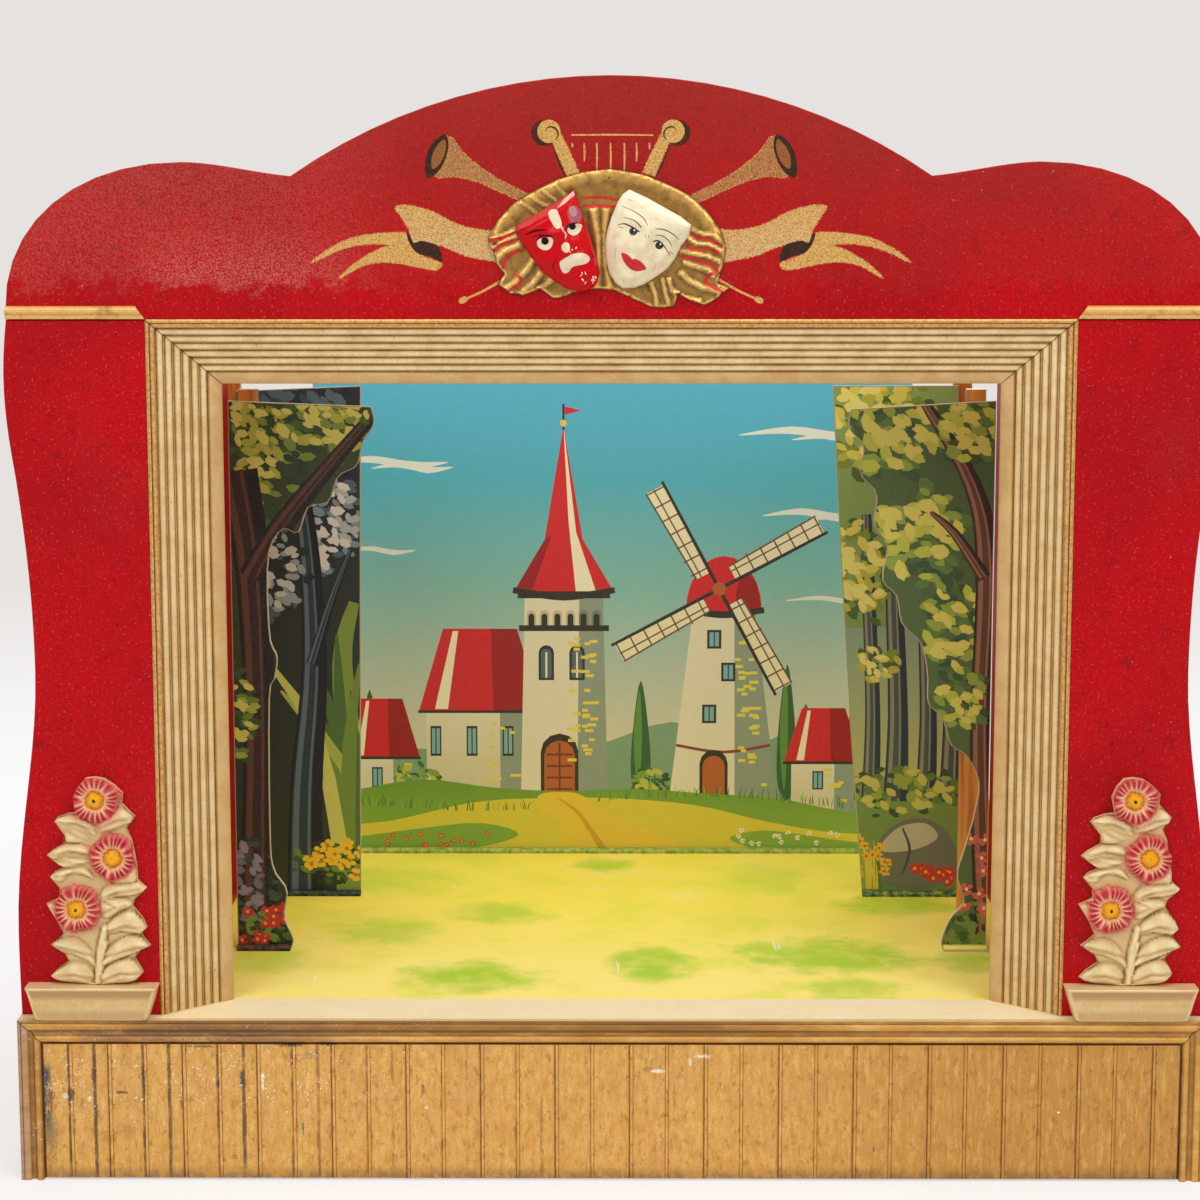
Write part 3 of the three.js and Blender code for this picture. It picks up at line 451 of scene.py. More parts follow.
def facesOut(spots, faces):
    # turns a closed mesh right side out
    volume = 0.0
    for face in faces:
        a = Vector(spots[face[0]])
        for i, j in zip(face[1:], face[2:]):
            volume += a.dot(Vector(spots[i]).cross(Vector(spots[j])))
    return faces if volume > 0 else [face[::-1] for face in faces]


def addPiece(name, spots, faces, body, slot, material, smooth=True):
    mesh = bpy.data.meshes.new(name)
    mesh.from_pydata(spots, [], faces)
    mesh.materials.append(material)
    if smooth:
        mesh.shade_smooth()
        mesh.set_sharp_from_angle(angle=math.radians(42))
    mesh.update()
    piece = bpy.data.objects.new(name, mesh)
    bpy.context.scene.collection.objects.link(piece)
    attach(piece, body)
    return piece


def inkOf(paint, x, z):
    # paint is a colour's text, a finished colour or a function of the place
    if callable(paint):
        return paint(x, z)
    return tint(paint) if isinstance(paint, str) else paint


def printedSheet(name, outline, shapes, front, thick, body, slot, material, ground="d8d0a8", rim=0.0,
                 spacing=0.0, height=None, clear=1.0, extra=()):
    # a closed sheet whose front carries the picture as one colour for each corner of a face; rim rounds its
    # edge by that many millimetres, and height lifts the front by a relief
    found, patches = layered(outline, shapes, spacing, extra)
    used = sorted({i for patch, _ in patches for i in patch})
    order = {old: new for new, old in enumerate(used)}
    flat = [found[i] for i in used]
    faces, inks, known = [], [], {}
    for patch, paint in patches:
        ring = [order[i] for i in patch]
        faces.append(ring)
        for i in ring:
            if (i, paint) not in known:
                known[i, paint] = inkOf(paint, flat[i].x, flat[i].y) if paint else tint(ground, clear)
            inks.append(known[i, paint])
    border = dict(sorted(borderOf(faces)))
    loops = []
    while border:
        loop = [next(iter(border))]
        while border[loop[-1]] != loop[0]:
            loop.append(border.pop(loop[-1]))
        border.pop(loop[-1])
        loops.append(loop)
    lift = height or (lambda x, z: 0.0)
    spots = [(p.x * mm, front - lift(p.x, p.y) * mm, p.y * mm) for p in flat]
    back = front + thick
    for loop in loops:
        flatLoop = [(flat[i].x, flat[i].y) for i in loop]
        last = loop
        for share in ([0.3, 1.0] if rim else []) + [None]:
            outward = insetLoop(flatLoop, -rim * (1 if share is None else math.sin(share * math.pi / 2)))
            start = len(spots)
            for (x, z), i in zip(outward, loop):
                rise = 0 if share is None else lift(flat[i].x, flat[i].y) * mm
                y = back if share is None else front - rise + rim * mm * (1 - math.cos(share * math.pi / 2))
                spots.append((x * mm, y, z * mm))
            for k in range(len(loop)):
                n = (k + 1) % len(loop)
                faces.append([last[n], last[k], start + k, start + n])
                inks.extend([tint(ground, clear)] * 4)
            last = list(range(start, start + len(loop)))
        faces.append(last[::-1])
        inks.extend([tint(ground, clear)] * len(last))
    piece = addPiece(name, spots, faces, body, slot, material, smooth=bool(rim or height))
    layer = piece.data.color_attributes.new("ink", "FLOAT_COLOR", "CORNER")
    layer.data.foreach_set("color", [part for colour in inks for part in colour])
    return piece


def fade(low, high, bottom, top):
    # paint that runs from one colour to the other up the sheet
    a, b = tint(bottom), tint(top)

    def paint(x, z):
        share = min(max((z - low) / (high - low), 0), 1)
        return tuple(a[k] + (b[k] - a[k]) * share for k in range(4))
    return paint


def printedPaper(name):
    look = Look(name, roughness=0.42, specular=0.25)
    ink = look.attribute("ink", "Color")
    wash = look.noise(7, 5, 0.65)
    grain = look.noise(0.7, 2, 0.6)
    colour = wash.ease(0.35, 0.7, 0, 0.12).blend(ink, "e9dfb5", "MULTIPLY")
    colour = grain.ease(0.4, 0.62, 0, 0.04).blend(colour, "f4ecd0")
    worn = look.noise(16, 8, 0.75).ease(0.71, 0.74, 0, 0.28)
    colour = worn.blend(colour, "cfc39a")
    look.give("Base Color", colour)
    look.relief(look.noise(30, 2), 0.5, 0.25)
    return look.material


def cardBoard(name):
    # grey board with pale cut edges
    look = Look(name, roughness=0.85, specular=0.2)
    across = look.facing("Y")
    flatFace = abs(across).ease(0.4, 0.6)
    pulp = look.noise(3, 6, 0.7)
    board = pulp.blend("9b8a6c", "b8a888")
    edge = look.noise(6, 5).blend("e8dcbc", "cdbb90")
    look.give("Base Color", flatFace.blend(edge, board))
    look.relief(pulp, 0.1, 0.5)
    return look.material


# The scenery's pictures: a village on a hill, and four cards of trees, in a poster's flat inks

inks = {
    "outline": "2b2a24", "wall": "e2dabb", "wallShade": "8f9c86", "roof": "d01f27", "roofShade": "9c1218",
    "cream": "f1e8c4", "stone": "e4d24e", "wood": "b5602a", "grass": "6f9a34", "sun": "d9c93e",
    "road": "e5c53c", "farHill": "7fa07c", "pane": "7fb0b4"}
skyStops = [(113, "d8cfa6"), (215, "d3cdae"), (270, "b5c4ad"), (340, "86bcae"), (430, "4eaebc"),
            (521, "54b0cc")]


def skyPaint(x, z):
    for (low, below), (high, above) in zip(skyStops, skyStops[1:]):
        if z <= high:
            return fade(low, high, below, above)(x, z)
    return tint(skyStops[-1][1])


def foliage(rng, x, z, across, up, count, colours, size):
    # touches of the brush in an oval, dark ones first and light ones on top, towards the light
    touches = []
    for i in range(count):
        share = i / count
        angle, reach = rng.uniform(0, 2 * math.pi), math.sqrt(rng.random()) * (1 - 0.25 * share)
        px = x + across * reach * math.cos(angle) - across * 0.14 * share
        pz = z + up * reach * math.sin(angle) + up * 0.14 * share
        length = size * rng.uniform(0.7, 1.3)
        colour = colours[min(int(share * len(colours) + rng.uniform(-0.35, 0.35)), len(colours) - 1)]
        touches.append((dab(px, pz, length, length * rng.uniform(0.42, 0.62), rng.uniform(-0.9, 0.9) - 0.5),
                        colour))
    return touches


def grassTuft(rng, x, z, width, height, count, colours):
    blades = []
    for _ in range(count):
        foot = x + rng.uniform(-0.5, 0.5) * width
        lean = rng.uniform(-0.35, 0.35) * height
        tall = height * rng.uniform(0.5, 1.0)
        wide = height * rng.uniform(0.05, 0.09)
        blades.append((stroke([(foot, z), (foot + lean * 0.3, z + tall * 0.6), (foot + lean, z + tall)],
                              [wide, wide * 0.8, wide * 0.12], 3), rng.choice(colours)))
    return blades


def flowers(rng, x, z, width, height, count, petal, heart, size):
    heads = []
    for _ in range(count):
        px, pz = x + rng.uniform(-0.5, 0.5) * width, z + rng.uniform(-0.5, 0.5) * height
        for k in range(5):
            angle = 2 * math.pi * k / 5 + rng.random()
            heads.append((oval(px + size * 0.5 * math.cos(angle), pz + size * 0.5 * math.sin(angle),
                               size * 0.36, size * 0.3, 6), petal))
        heads.append((oval(px, pz, size * 0.24, size * 0.24, 6), heart))
    return heads


def arch(x, low, wide, tall):
    half = wide / 2
    top = [(x + half * math.cos(a), low + tall - half + half * math.sin(a))
           for a in [math.pi * k / 6 for k in range(7)]]
    return [(x - half, low), (x + half, low)] + top


def window(x, low, high, half, paneLow, paneHigh, paneHalf):
    return [(oblong(x - half, low, x + half, high), inks["outline"]),
            (oblong(x - paneHalf, paneLow, x - 0.5, paneHigh), inks["pane"]),
            (oblong(x + 0.5, paneLow, x + paneHalf, paneHigh), inks["pane"])]


def stone(rng, x, z, short, long, tall):
    return oblong(x, z, x + rng.uniform(short, long), z + tall), inks["stone"]


def house(rng, left, right, low, eaves, ridge):
    width, lean = right - left, 6
    shapes = [
        (oblong(left, low, right, eaves), fade(low, eaves, "d2c8a2", inks["wall"])),
        (oblong(left + width * 0.68, low, right, eaves), inks["wallShade"]),
        ([(left - lean, eaves), (right + lean, eaves), (right - width * 0.16, ridge),
          (left + width * 0.16, ridge)], inks["roof"]),
        ([(left + width * 0.62, eaves), (right + lean, eaves), (right - width * 0.16, ridge),
          (left + width * 0.6, ridge)], inks["roofShade"]),
        ([(left + width * 0.08, eaves + 1), (left + width * 0.2, eaves + 1),
          (left + width * 0.3, ridge - 2), (left + width * 0.25, ridge - 2)], inks["cream"]),
        (oblong(left - lean - 1, eaves - 2.4, right + lean + 1, eaves), inks["outline"])]
    for k in range(max(1, int(width / 28))):
        x = left + width * (k + 0.5) / max(1, int(width / 28)) - width * 0.08
        shapes += window(x, low + (eaves - low) * 0.42, low + (eaves - low) * 0.8, 4.6,
                         low + (eaves - low) * 0.45, low + (eaves - low) * 0.77, 3.4)
    for _ in range(int(width / 7)):
        x, z = rng.uniform(left + width * 0.5, right - 7), rng.uniform(low + 4, eaves - 8)
        shapes.append(stone(rng, x, z, 4, 7, 2.4))
    return shapes


def church(rng):
    shapes = house(rng, -158, -66, 168, 236, 306)
    left, right, low, top, peak = -74, -8, 160, 338, 478
    middle = (left + right) / 2
    body = [(left - 4, low), (right + 4, low), (right, top), (left, top)]
    shapes += [
        (body, inks["wall"]),
        ([(middle + 11, low), (right + 4, low), (right, top), (middle + 13, top)], inks["wallShade"]),
        (oblong(left - 5, top - 34, right + 5, top - 29), inks["outline"]),
        (oblong(left - 6, top - 6, right + 6, top), inks["outline"])]
    for k in range(6):
        x = left + 5.5 + k * 11
        shapes += [(arch(x, top - 29, 8, 13), "c9bd92" if k < 4 else "74826f"),
                   (arch(x, top - 29, 5, 10), inks["outline"])]
    for k in range(2):
        x = left + 18 + k * 26
        shapes += [(arch(x, top - 76, 13, 30), inks["outline"]), (arch(x, top - 74, 9, 25), "54696c"),
                   (oblong(x - 0.8, top - 74, x + 0.8, top - 52), inks["cream"])]
    shapes += [(arch(middle - 4, low, 32, 56), inks["outline"]),
               (arch(middle - 4, low, 26, 50), inks["wood"]),
               (oblong(middle - 4.8, low, middle - 3.2, low + 48), "6e3414")]
    for k in range(4):
        shapes.append((oblong(middle - 15, low + 7 + k * 10, middle + 7, low + 8.6 + k * 10), "6e3414"))
    spire = [(left - 9, top), (right + 9, top), (middle + 16, top + 44), (middle, peak),
             (middle - 16, top + 44)]
    light = [(middle + 10, top), (right - 6, top), (middle + 10.5, top + 50), (middle, peak),
             (middle + 4, top + 60)]
    shapes += [
        (spire, inks["roof"]),
        ([(left - 9, top), (left + 6, top), (middle - 10, top + 48), (middle - 16, top + 44)],
         inks["roofShade"]), (light, inks["cream"]),
        (stroke([(left - 10, top + 1), (middle, top - 5), (right + 10, top + 1)], [5, 6, 5]),
         inks["outline"]), (oblong(middle - 0.9, peak - 4, middle + 0.9, peak + 18), inks["outline"]),
        (oval(middle, peak + 2, 3, 3, 8), inks["road"]),
        ([(middle + 1, peak + 16), (middle + 15, peak + 12.5), (middle + 1, peak + 9)], inks["roof"])]
    for _ in range(34):
        x, z = rng.uniform(middle + 2, right - 9), rng.uniform(low + 30, top - 42)
        shapes.append(stone(rng, x, z, 4.5, 8, 2.6))
    return shapes


def windmill(rng):
    foot, neck, low, top = 46, 26, 158, 322
    middle = 94
    shapes = [
        ([(middle - foot, low), (middle + foot, low), (middle + neck, top), (middle - neck, top)],
         inks["wall"]),
        ([(middle + 10, low), (middle + foot, low), (middle + neck, top), (middle + 9, top)],
         inks["wallShade"]),
        (stroke([(middle - foot + 6, 206), (middle, 200), (middle + foot - 6, 206)], [2.4, 2.6, 2.4]),
         "8a3a3a"), (arch(middle - 8, low, 24, 44), inks["outline"]),
        (arch(middle - 8, low, 19, 39), inks["wood"])]
    for x, z in [(-12, 226), (4, 262), (-8, 290)]:
        shapes += window(middle + x, z - 1, z + 15, 6, z + 1, z + 13, 4)
    for _ in range(36):
        z = rng.uniform(low + 8, top - 14)
        half = foot + (neck - foot) * (z - low) / (top - low)
        x = middle + rng.uniform(half * 0.3, half - 9)
        shapes.append(stone(rng, x, z, 4.5, 8, 2.6))
    cap = [(middle - neck - 7, top - 3), (middle + neck + 7, top - 3)]
    cap += [(middle + (neck + 6) * math.cos(a), top + 46 * math.sin(a))
            for a in [math.pi * k / 12 for k in range(13)]]
    shapes += [
        (cap, inks["roof"]),
        ([(middle + 8, top), (middle + neck + 6, top), (middle + 27, top + 24), (middle + 15, top + 40)],
         inks["roofShade"]),
        (stroke([(middle - neck - 8, top), (middle, top - 4), (middle + neck + 8, top)], [5, 6, 5]),
         inks["outline"])]
    hub = (middle - 4, top + 18)
    for k in range(4):
        angle = math.radians(28 + 90 * k)
        c, s = math.cos(angle), math.sin(angle)

        def spot(along, across):
            return hub[0] + along * c - across * s, hub[1] + along * s + across * c

        shapes.append(([spot(16, 1), spot(100, 1), spot(100, 17), spot(16, 13)], "e9dfb8"))
        for step in range(7):
            reach = 20 + step * 13
            shapes.append(([spot(reach, 1), spot(reach + 1.3, 1), spot(reach + 1.3, 16), spot(reach, 16)],
                           "6e4a28"))
        shapes += [
            ([spot(16, 8), spot(100, 9), spot(100, 10.2), spot(16, 9.2)], "6e4a28"),
            ([spot(16, 12.4), spot(100, 16.2), spot(100, 17.6), spot(16, 13.8)], "6e4a28"),
            ([spot(0, -1.6), spot(103, -1.2), spot(103, 1.2), spot(0, 1.6)], inks["outline"])]
    shapes.append((oval(hub[0], hub[1], 6, 6, 10), inks["wood"]))
    return shapes


def villagePicture():
    rng = random.Random(11)
    shapes = [(oblong(-260, low, 260, low + 17.5), skyPaint) for low in [113 + 17 * k for k in range(24)]]
    for x, z, across, up in [(168, 470, 62, 4), (190, 466, 40, 3), (172, 402, 46, 3.6), (196, 398, 34, 3),
                             (-188, 446, 50, 3.6), (-168, 442, 34, 3), (186, 330, 40, 2.4),
                             (-196, 372, 30, 2.4)]:
        shapes.append((stroke([(x - across, z), (x - across * 0.3, z + up),
                               (x + across * 0.4, z - up * 0.4), (x + across, z + up * 0.3)],
                              [0.6, up * 1.6, up * 1.9, 0.6]), "dfe3d2"))
    far = smoothLoop([(-262, 196), (-210, 212), (-150, 202), (-90, 222), (-20, 206), (50, 226), (120, 208),
                      (180, 228), (262, 206)], 4, closed=False)
    shapes.append((far + [(262, 110), (-262, 110)], inks["farHill"]))
    for x, tall in [(-206, 96), (-190, 70), (24, 104), (148, 118), (164, 84), (206, 100)]:
        tree = smoothLoop([(x, 158), (x + 8, 176), (x + 7, 158 + tall * 0.55), (x, 158 + tall),
                           (x - 7, 158 + tall * 0.55), (x - 8, 176)], 4)
        shapes += [(tree, "2f5f35"),
                   (smoothLoop([(x - 2, 166), (x + 1, 158 + tall * 0.5), (x - 1, 158 + tall * 0.92),
                                (x - 6, 158 + tall * 0.5)], 4), "5f8f3e")]
    shapes += house(rng, 152, 206, 150, 192, 238) + house(rng, -222, -170, 150, 196, 246)
    shapes += church(rng) + windmill(rng)
    shapes += foliage(rng, -164, 176, 20, 16, 60, ["2c4f27", "42702f", "7ba03c", "b9bd4c"], 7)
    shapes += foliage(rng, 34, 172, 18, 14, 60, ["2c4f27", "42702f", "7ba03c", "b9bd4c"], 7)
    near = smoothLoop([(-262, 158), (-214, 168), (-160, 176), (-100, 169), (-40, 166), (20, 168), (80, 164),
                       (140, 160), (190, 150), (262, 140)], 4, closed=False)
    shapes += [
        (near + [(262, 110), (-262, 110)], fade(113, 172, "8fb03e", inks["grass"])),
        (smoothLoop([(-262, 132), (-190, 140), (-120, 156), (-60, 160), (0, 160), (70, 154), (130, 140),
                     (190, 130), (262, 126), (262, 108), (-262, 108)], 4), inks["sun"]),
        (smoothLoop([(-262, 118), (-160, 134), (-110, 138), (-80, 128), (-120, 116), (-200, 108)], 4),
         "7fa63a"), (smoothLoop([(262, 114), (190, 124), (130, 132), (100, 124), (150, 112)], 4), "86aa3c")]
    road = [(-60, 164), (-30, 164), (-8, 150), (16, 140), (44, 126), (60, 111), (-52, 111), (-40, 126),
            (-48, 142), (-64, 152)]
    shapes += [(smoothLoop(road, 4), inks["road"]),
               (stroke([(-46, 160), (-30, 148), (-20, 134), (-6, 112)], [1, 3, 4, 7]), "cfa12c")]
    for k in range(46):
        x = -250 + k * 11
        line = 164 + 6 * math.sin(x / 60)
        if not -70 < x < -10:
            shapes += grassTuft(rng, x, line - 6 - abs(x) * 0.03, 11, 11, 4, ["4f7f2c", "8fae3c", "35622a"])
    shapes += flowers(rng, 150, 126, 90, 12, 14, "f0e6c8", "e0a62c", 3)
    shapes += flowers(rng, -150, 124, 90, 12, 14, "d8402c", "f0c83c", 3)
    return shapes


def trunk(points, widths, dark, mid, light):
    # bark with a shaded side, a lit side and a few long streaks
    shapes = [(stroke(points, widths), dark)]
    for shift, share, colour in [(-0.12, 0.6, mid), (-0.28, 0.18, light), (0.1, 0.08, light)]:
        moved = [(x + w * shift, z) for (x, z), w in zip(points, widths)]
        shapes.append((stroke(moved, [w * share for w in widths]), colour))
    return shapes


def leftFrontPicture():
    rng = random.Random(21)
    leaves = ["243a1c", "3d5a22", "76882c", "a9a93c", "cbc45a"]
    shapes = [(oblong(-290, 110, -160, 525), fade(113, 521, "20261a", "34401f"))]
    shapes += foliage(rng, -262, 470, 44, 56, 120, leaves, 11)
    shapes += foliage(rng, -206, 500, 44, 30, 90, leaves, 11)
    shapes += trunk([(-262, 108), (-261, 190), (-259, 300), (-262, 400), (-272, 470)], [30, 26, 23, 26, 30],
                    "150c0a", "301b14", "583524")
    shapes += trunk([(-262, 392), (-240, 430), (-208, 470), (-168, 516)], [22, 17, 12, 8], "150c0a",
                    "301b14", "583524")
    shapes += foliage(rng, -272, 512, 28, 16, 50, leaves, 10)
    shapes += foliage(rng, -196, 514, 34, 14, 60, leaves, 10)
    shapes += foliage(rng, -276, 290, 20, 42, 70, ["2f4a1e", "5f7a28", "98a23a", "c4bd54"], 9)
    shapes += foliage(rng, -268, 160, 26, 40, 90, ["1f2f1a", "3d4a3a", "6d6a72", "8a7f8c"], 9)
    shapes += foliage(rng, -250, 130, 24, 18, 60, ["22401f", "41662a", "6f8c34"], 7)
    shapes += flowers(rng, -258, 132, 34, 26, 15, "c5282c", "e9a83a", 5.5)
    return shapes


def leftBackPicture():
    rng = random.Random(22)
    night = ["141d26", "22303c", "35474f", "4f6468"]
    shapes = [(oblong(-300, 110, -190, 525), fade(113, 521, "2c3a22", "1b2630"))]
    shapes += foliage(rng, -240, 480, 54, 52, 150, night, 13)
    shapes += foliage(rng, -218, 410, 24, 50, 90, ["4c6670", "7f9499", "b4bcb2", "dcdccb"], 10)
    shapes.append((stroke([(-208, 116), (-206, 200), (-214, 300), (-204, 350)], [26, 22, 16, 8]), "7f9a3a"))
    shapes += grassTuft(rng, -208, 140, 22, 190, 22, ["a9b84a", "6f8f34", "c9cc62", "4c7030"])
    shapes += trunk([(-246, 110), (-244, 200), (-236, 300), (-240, 400), (-252, 470)], [30, 26, 20, 16, 14],
                    "0f171e", "263842", "5a7076")
    shapes += trunk([(-238, 300), (-222, 350), (-206, 392)], [10, 7, 3], "0f171e", "263842", "5a7076")
    shapes += foliage(rng, -262, 372, 26, 50, 80, ["1d2b2c", "4c5f5c", "93a09a", "c6cab8"], 10)
    shapes += foliage(rng, -226, 138, 34, 18, 60, ["1f361a", "3a5a26", "6a8a30"], 8)
    shapes += flowers(rng, -222, 142, 44, 26, 15, "edc52c", "c8781c", 7)
    return shapes


def rightFrontPicture():
    rng = random.Random(23)
    leaves = ["34502a", "587630", "8a9c38", "b4b83e", "d0c456"]
    shapes = [(oblong(160, 110, 290, 525), fade(113, 521, "566e34", "44592c"))]
    shapes += foliage(rng, 206, 496, 46, 34, 110, leaves, 13)
    shapes += foliage(rng, 226, 420, 38, 42, 110, leaves, 13)
    shapes += foliage(rng, 254, 352, 30, 42, 90, leaves, 12)
    shapes += trunk([(284, 108), (276, 190), (272, 290), (274, 400), (262, 460), (226, 520)],
                    [26, 20, 17, 18, 13, 7], "2b1a14", "5e3b28", "93674a")
    shapes += trunk([(272, 392), (250, 424), (232, 440)], [10, 7, 3], "2b1a14", "5e3b28", "93674a")
    shapes += foliage(rng, 262, 498, 26, 26, 70, leaves, 12)
    shapes += foliage(rng, 258, 300, 20, 26, 60, leaves, 10)
    shapes += foliage(rng, 262, 132, 22, 30, 70, ["20331c", "3e5a28", "728a38"], 9)
    shapes += flowers(rng, 270, 168, 18, 60, 9, "cf5f52", "efd07a", 6.5)
    return shapes


def rightBackPicture():
    rng = random.Random(24)
    leaves = ["486428", "7c9030", "b4b43c", "d6cc52", "e6dc74"]
    shapes = [(oblong(160, 110, 300, 525), fade(113, 521, "6f8a3a", "88a45a"))]
    shapes += foliage(rng, 214, 486, 46, 46, 150, leaves, 13)
    shapes.append((oblong(176, 210, 300, 330), fade(210, 330, "b8b868", "86a080")))
    for x, wide in [(206, 15), (226, 20), (250, 17), (270, 20)]:
        shapes += trunk([(x, 190), (x + 1, 260), (x - 3, 350), (x - 6, 420)],
                        [wide, wide * 0.8, wide * 0.7, wide * 0.5], "23323c", "47564e", "8c8a68")
    shapes += foliage(rng, 196, 372, 26, 46, 100, leaves, 12)
    shapes += foliage(rng, 212, 300, 18, 16, 40, leaves, 9)
    shapes += foliage(rng, 236, 196, 52, 22, 100, ["33502a", "5d7c30", "93a23c", "c4bd54"], 10)
    rock = [(206, 128), (212, 156), (228, 172), (250, 176), (268, 164), (278, 140), (272, 124), (240, 118)]
    shapes += [(smoothLoop(rock, 4), "6d6f58"),
               (smoothLoop([(214, 150), (228, 168), (250, 172), (260, 160), (240, 150)], 4), "b9b48c"),
               (stroke([(232, 168), (238, 150), (232, 130)], [1.4, 2.4, 1]), "43463a")]
    shapes += grassTuft(rng, 206, 118, 22, 46, 26, ["d8c23c", "8fa53a", "55752c"])
    shapes += flowers(rng, 208, 146, 26, 34, 14, "e6b02c", "b4641c", 5)
    shapes += flowers(rng, 262, 130, 40, 16, 13, "c8321f", "edb43c", 6)
    return shapes


paperInk = printedPaper("printedPaper")
greyCard = cardBoard("greyCard")
cards = {
    "flat_front_left": ("scenery_front_left", "card_front_left", leftFrontPicture, "7d7a34"),
    "flat_front_right": ("scenery_front_right", "card_front_right", rightFrontPicture, "5d6b34"),
    "flat_back_left": ("scenery_back_left", "card_back_left", leftBackPicture, "3c4a44"),
    "flat_back_right": ("scenery_back_right", "card_back_right", rightBackPicture, "8a9a44"),
    "backdrop": ("backdrop", "backdrop_print", villagePicture, "b9c9a4")}
sheetSizes = {"paper": 0.25 * mm, "paleEdge": 0.7}
for name, (body, slot, picture, ground) in cards.items():
    finish(name, greyCard)
    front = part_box(name)[0].y - sheetSizes["paper"]
    outline = insetLoop(frontOutline(name), sheetSizes["paleEdge"])
    printedSheet(name + "_print", outline, picture(), front, sheetSizes["paper"], body, slot, paperInk,
                 ground)
print("pictures printed on the scenery")


# The crest board, with the painted trumpets, lyre, ribbons and drum sticks

crestInks = {"gold": "cea45a", "pale": "ccac78", "dark": "2c271e", "brown": "8a6536", "spray": 0.7,
             "tube": "a87c48"}


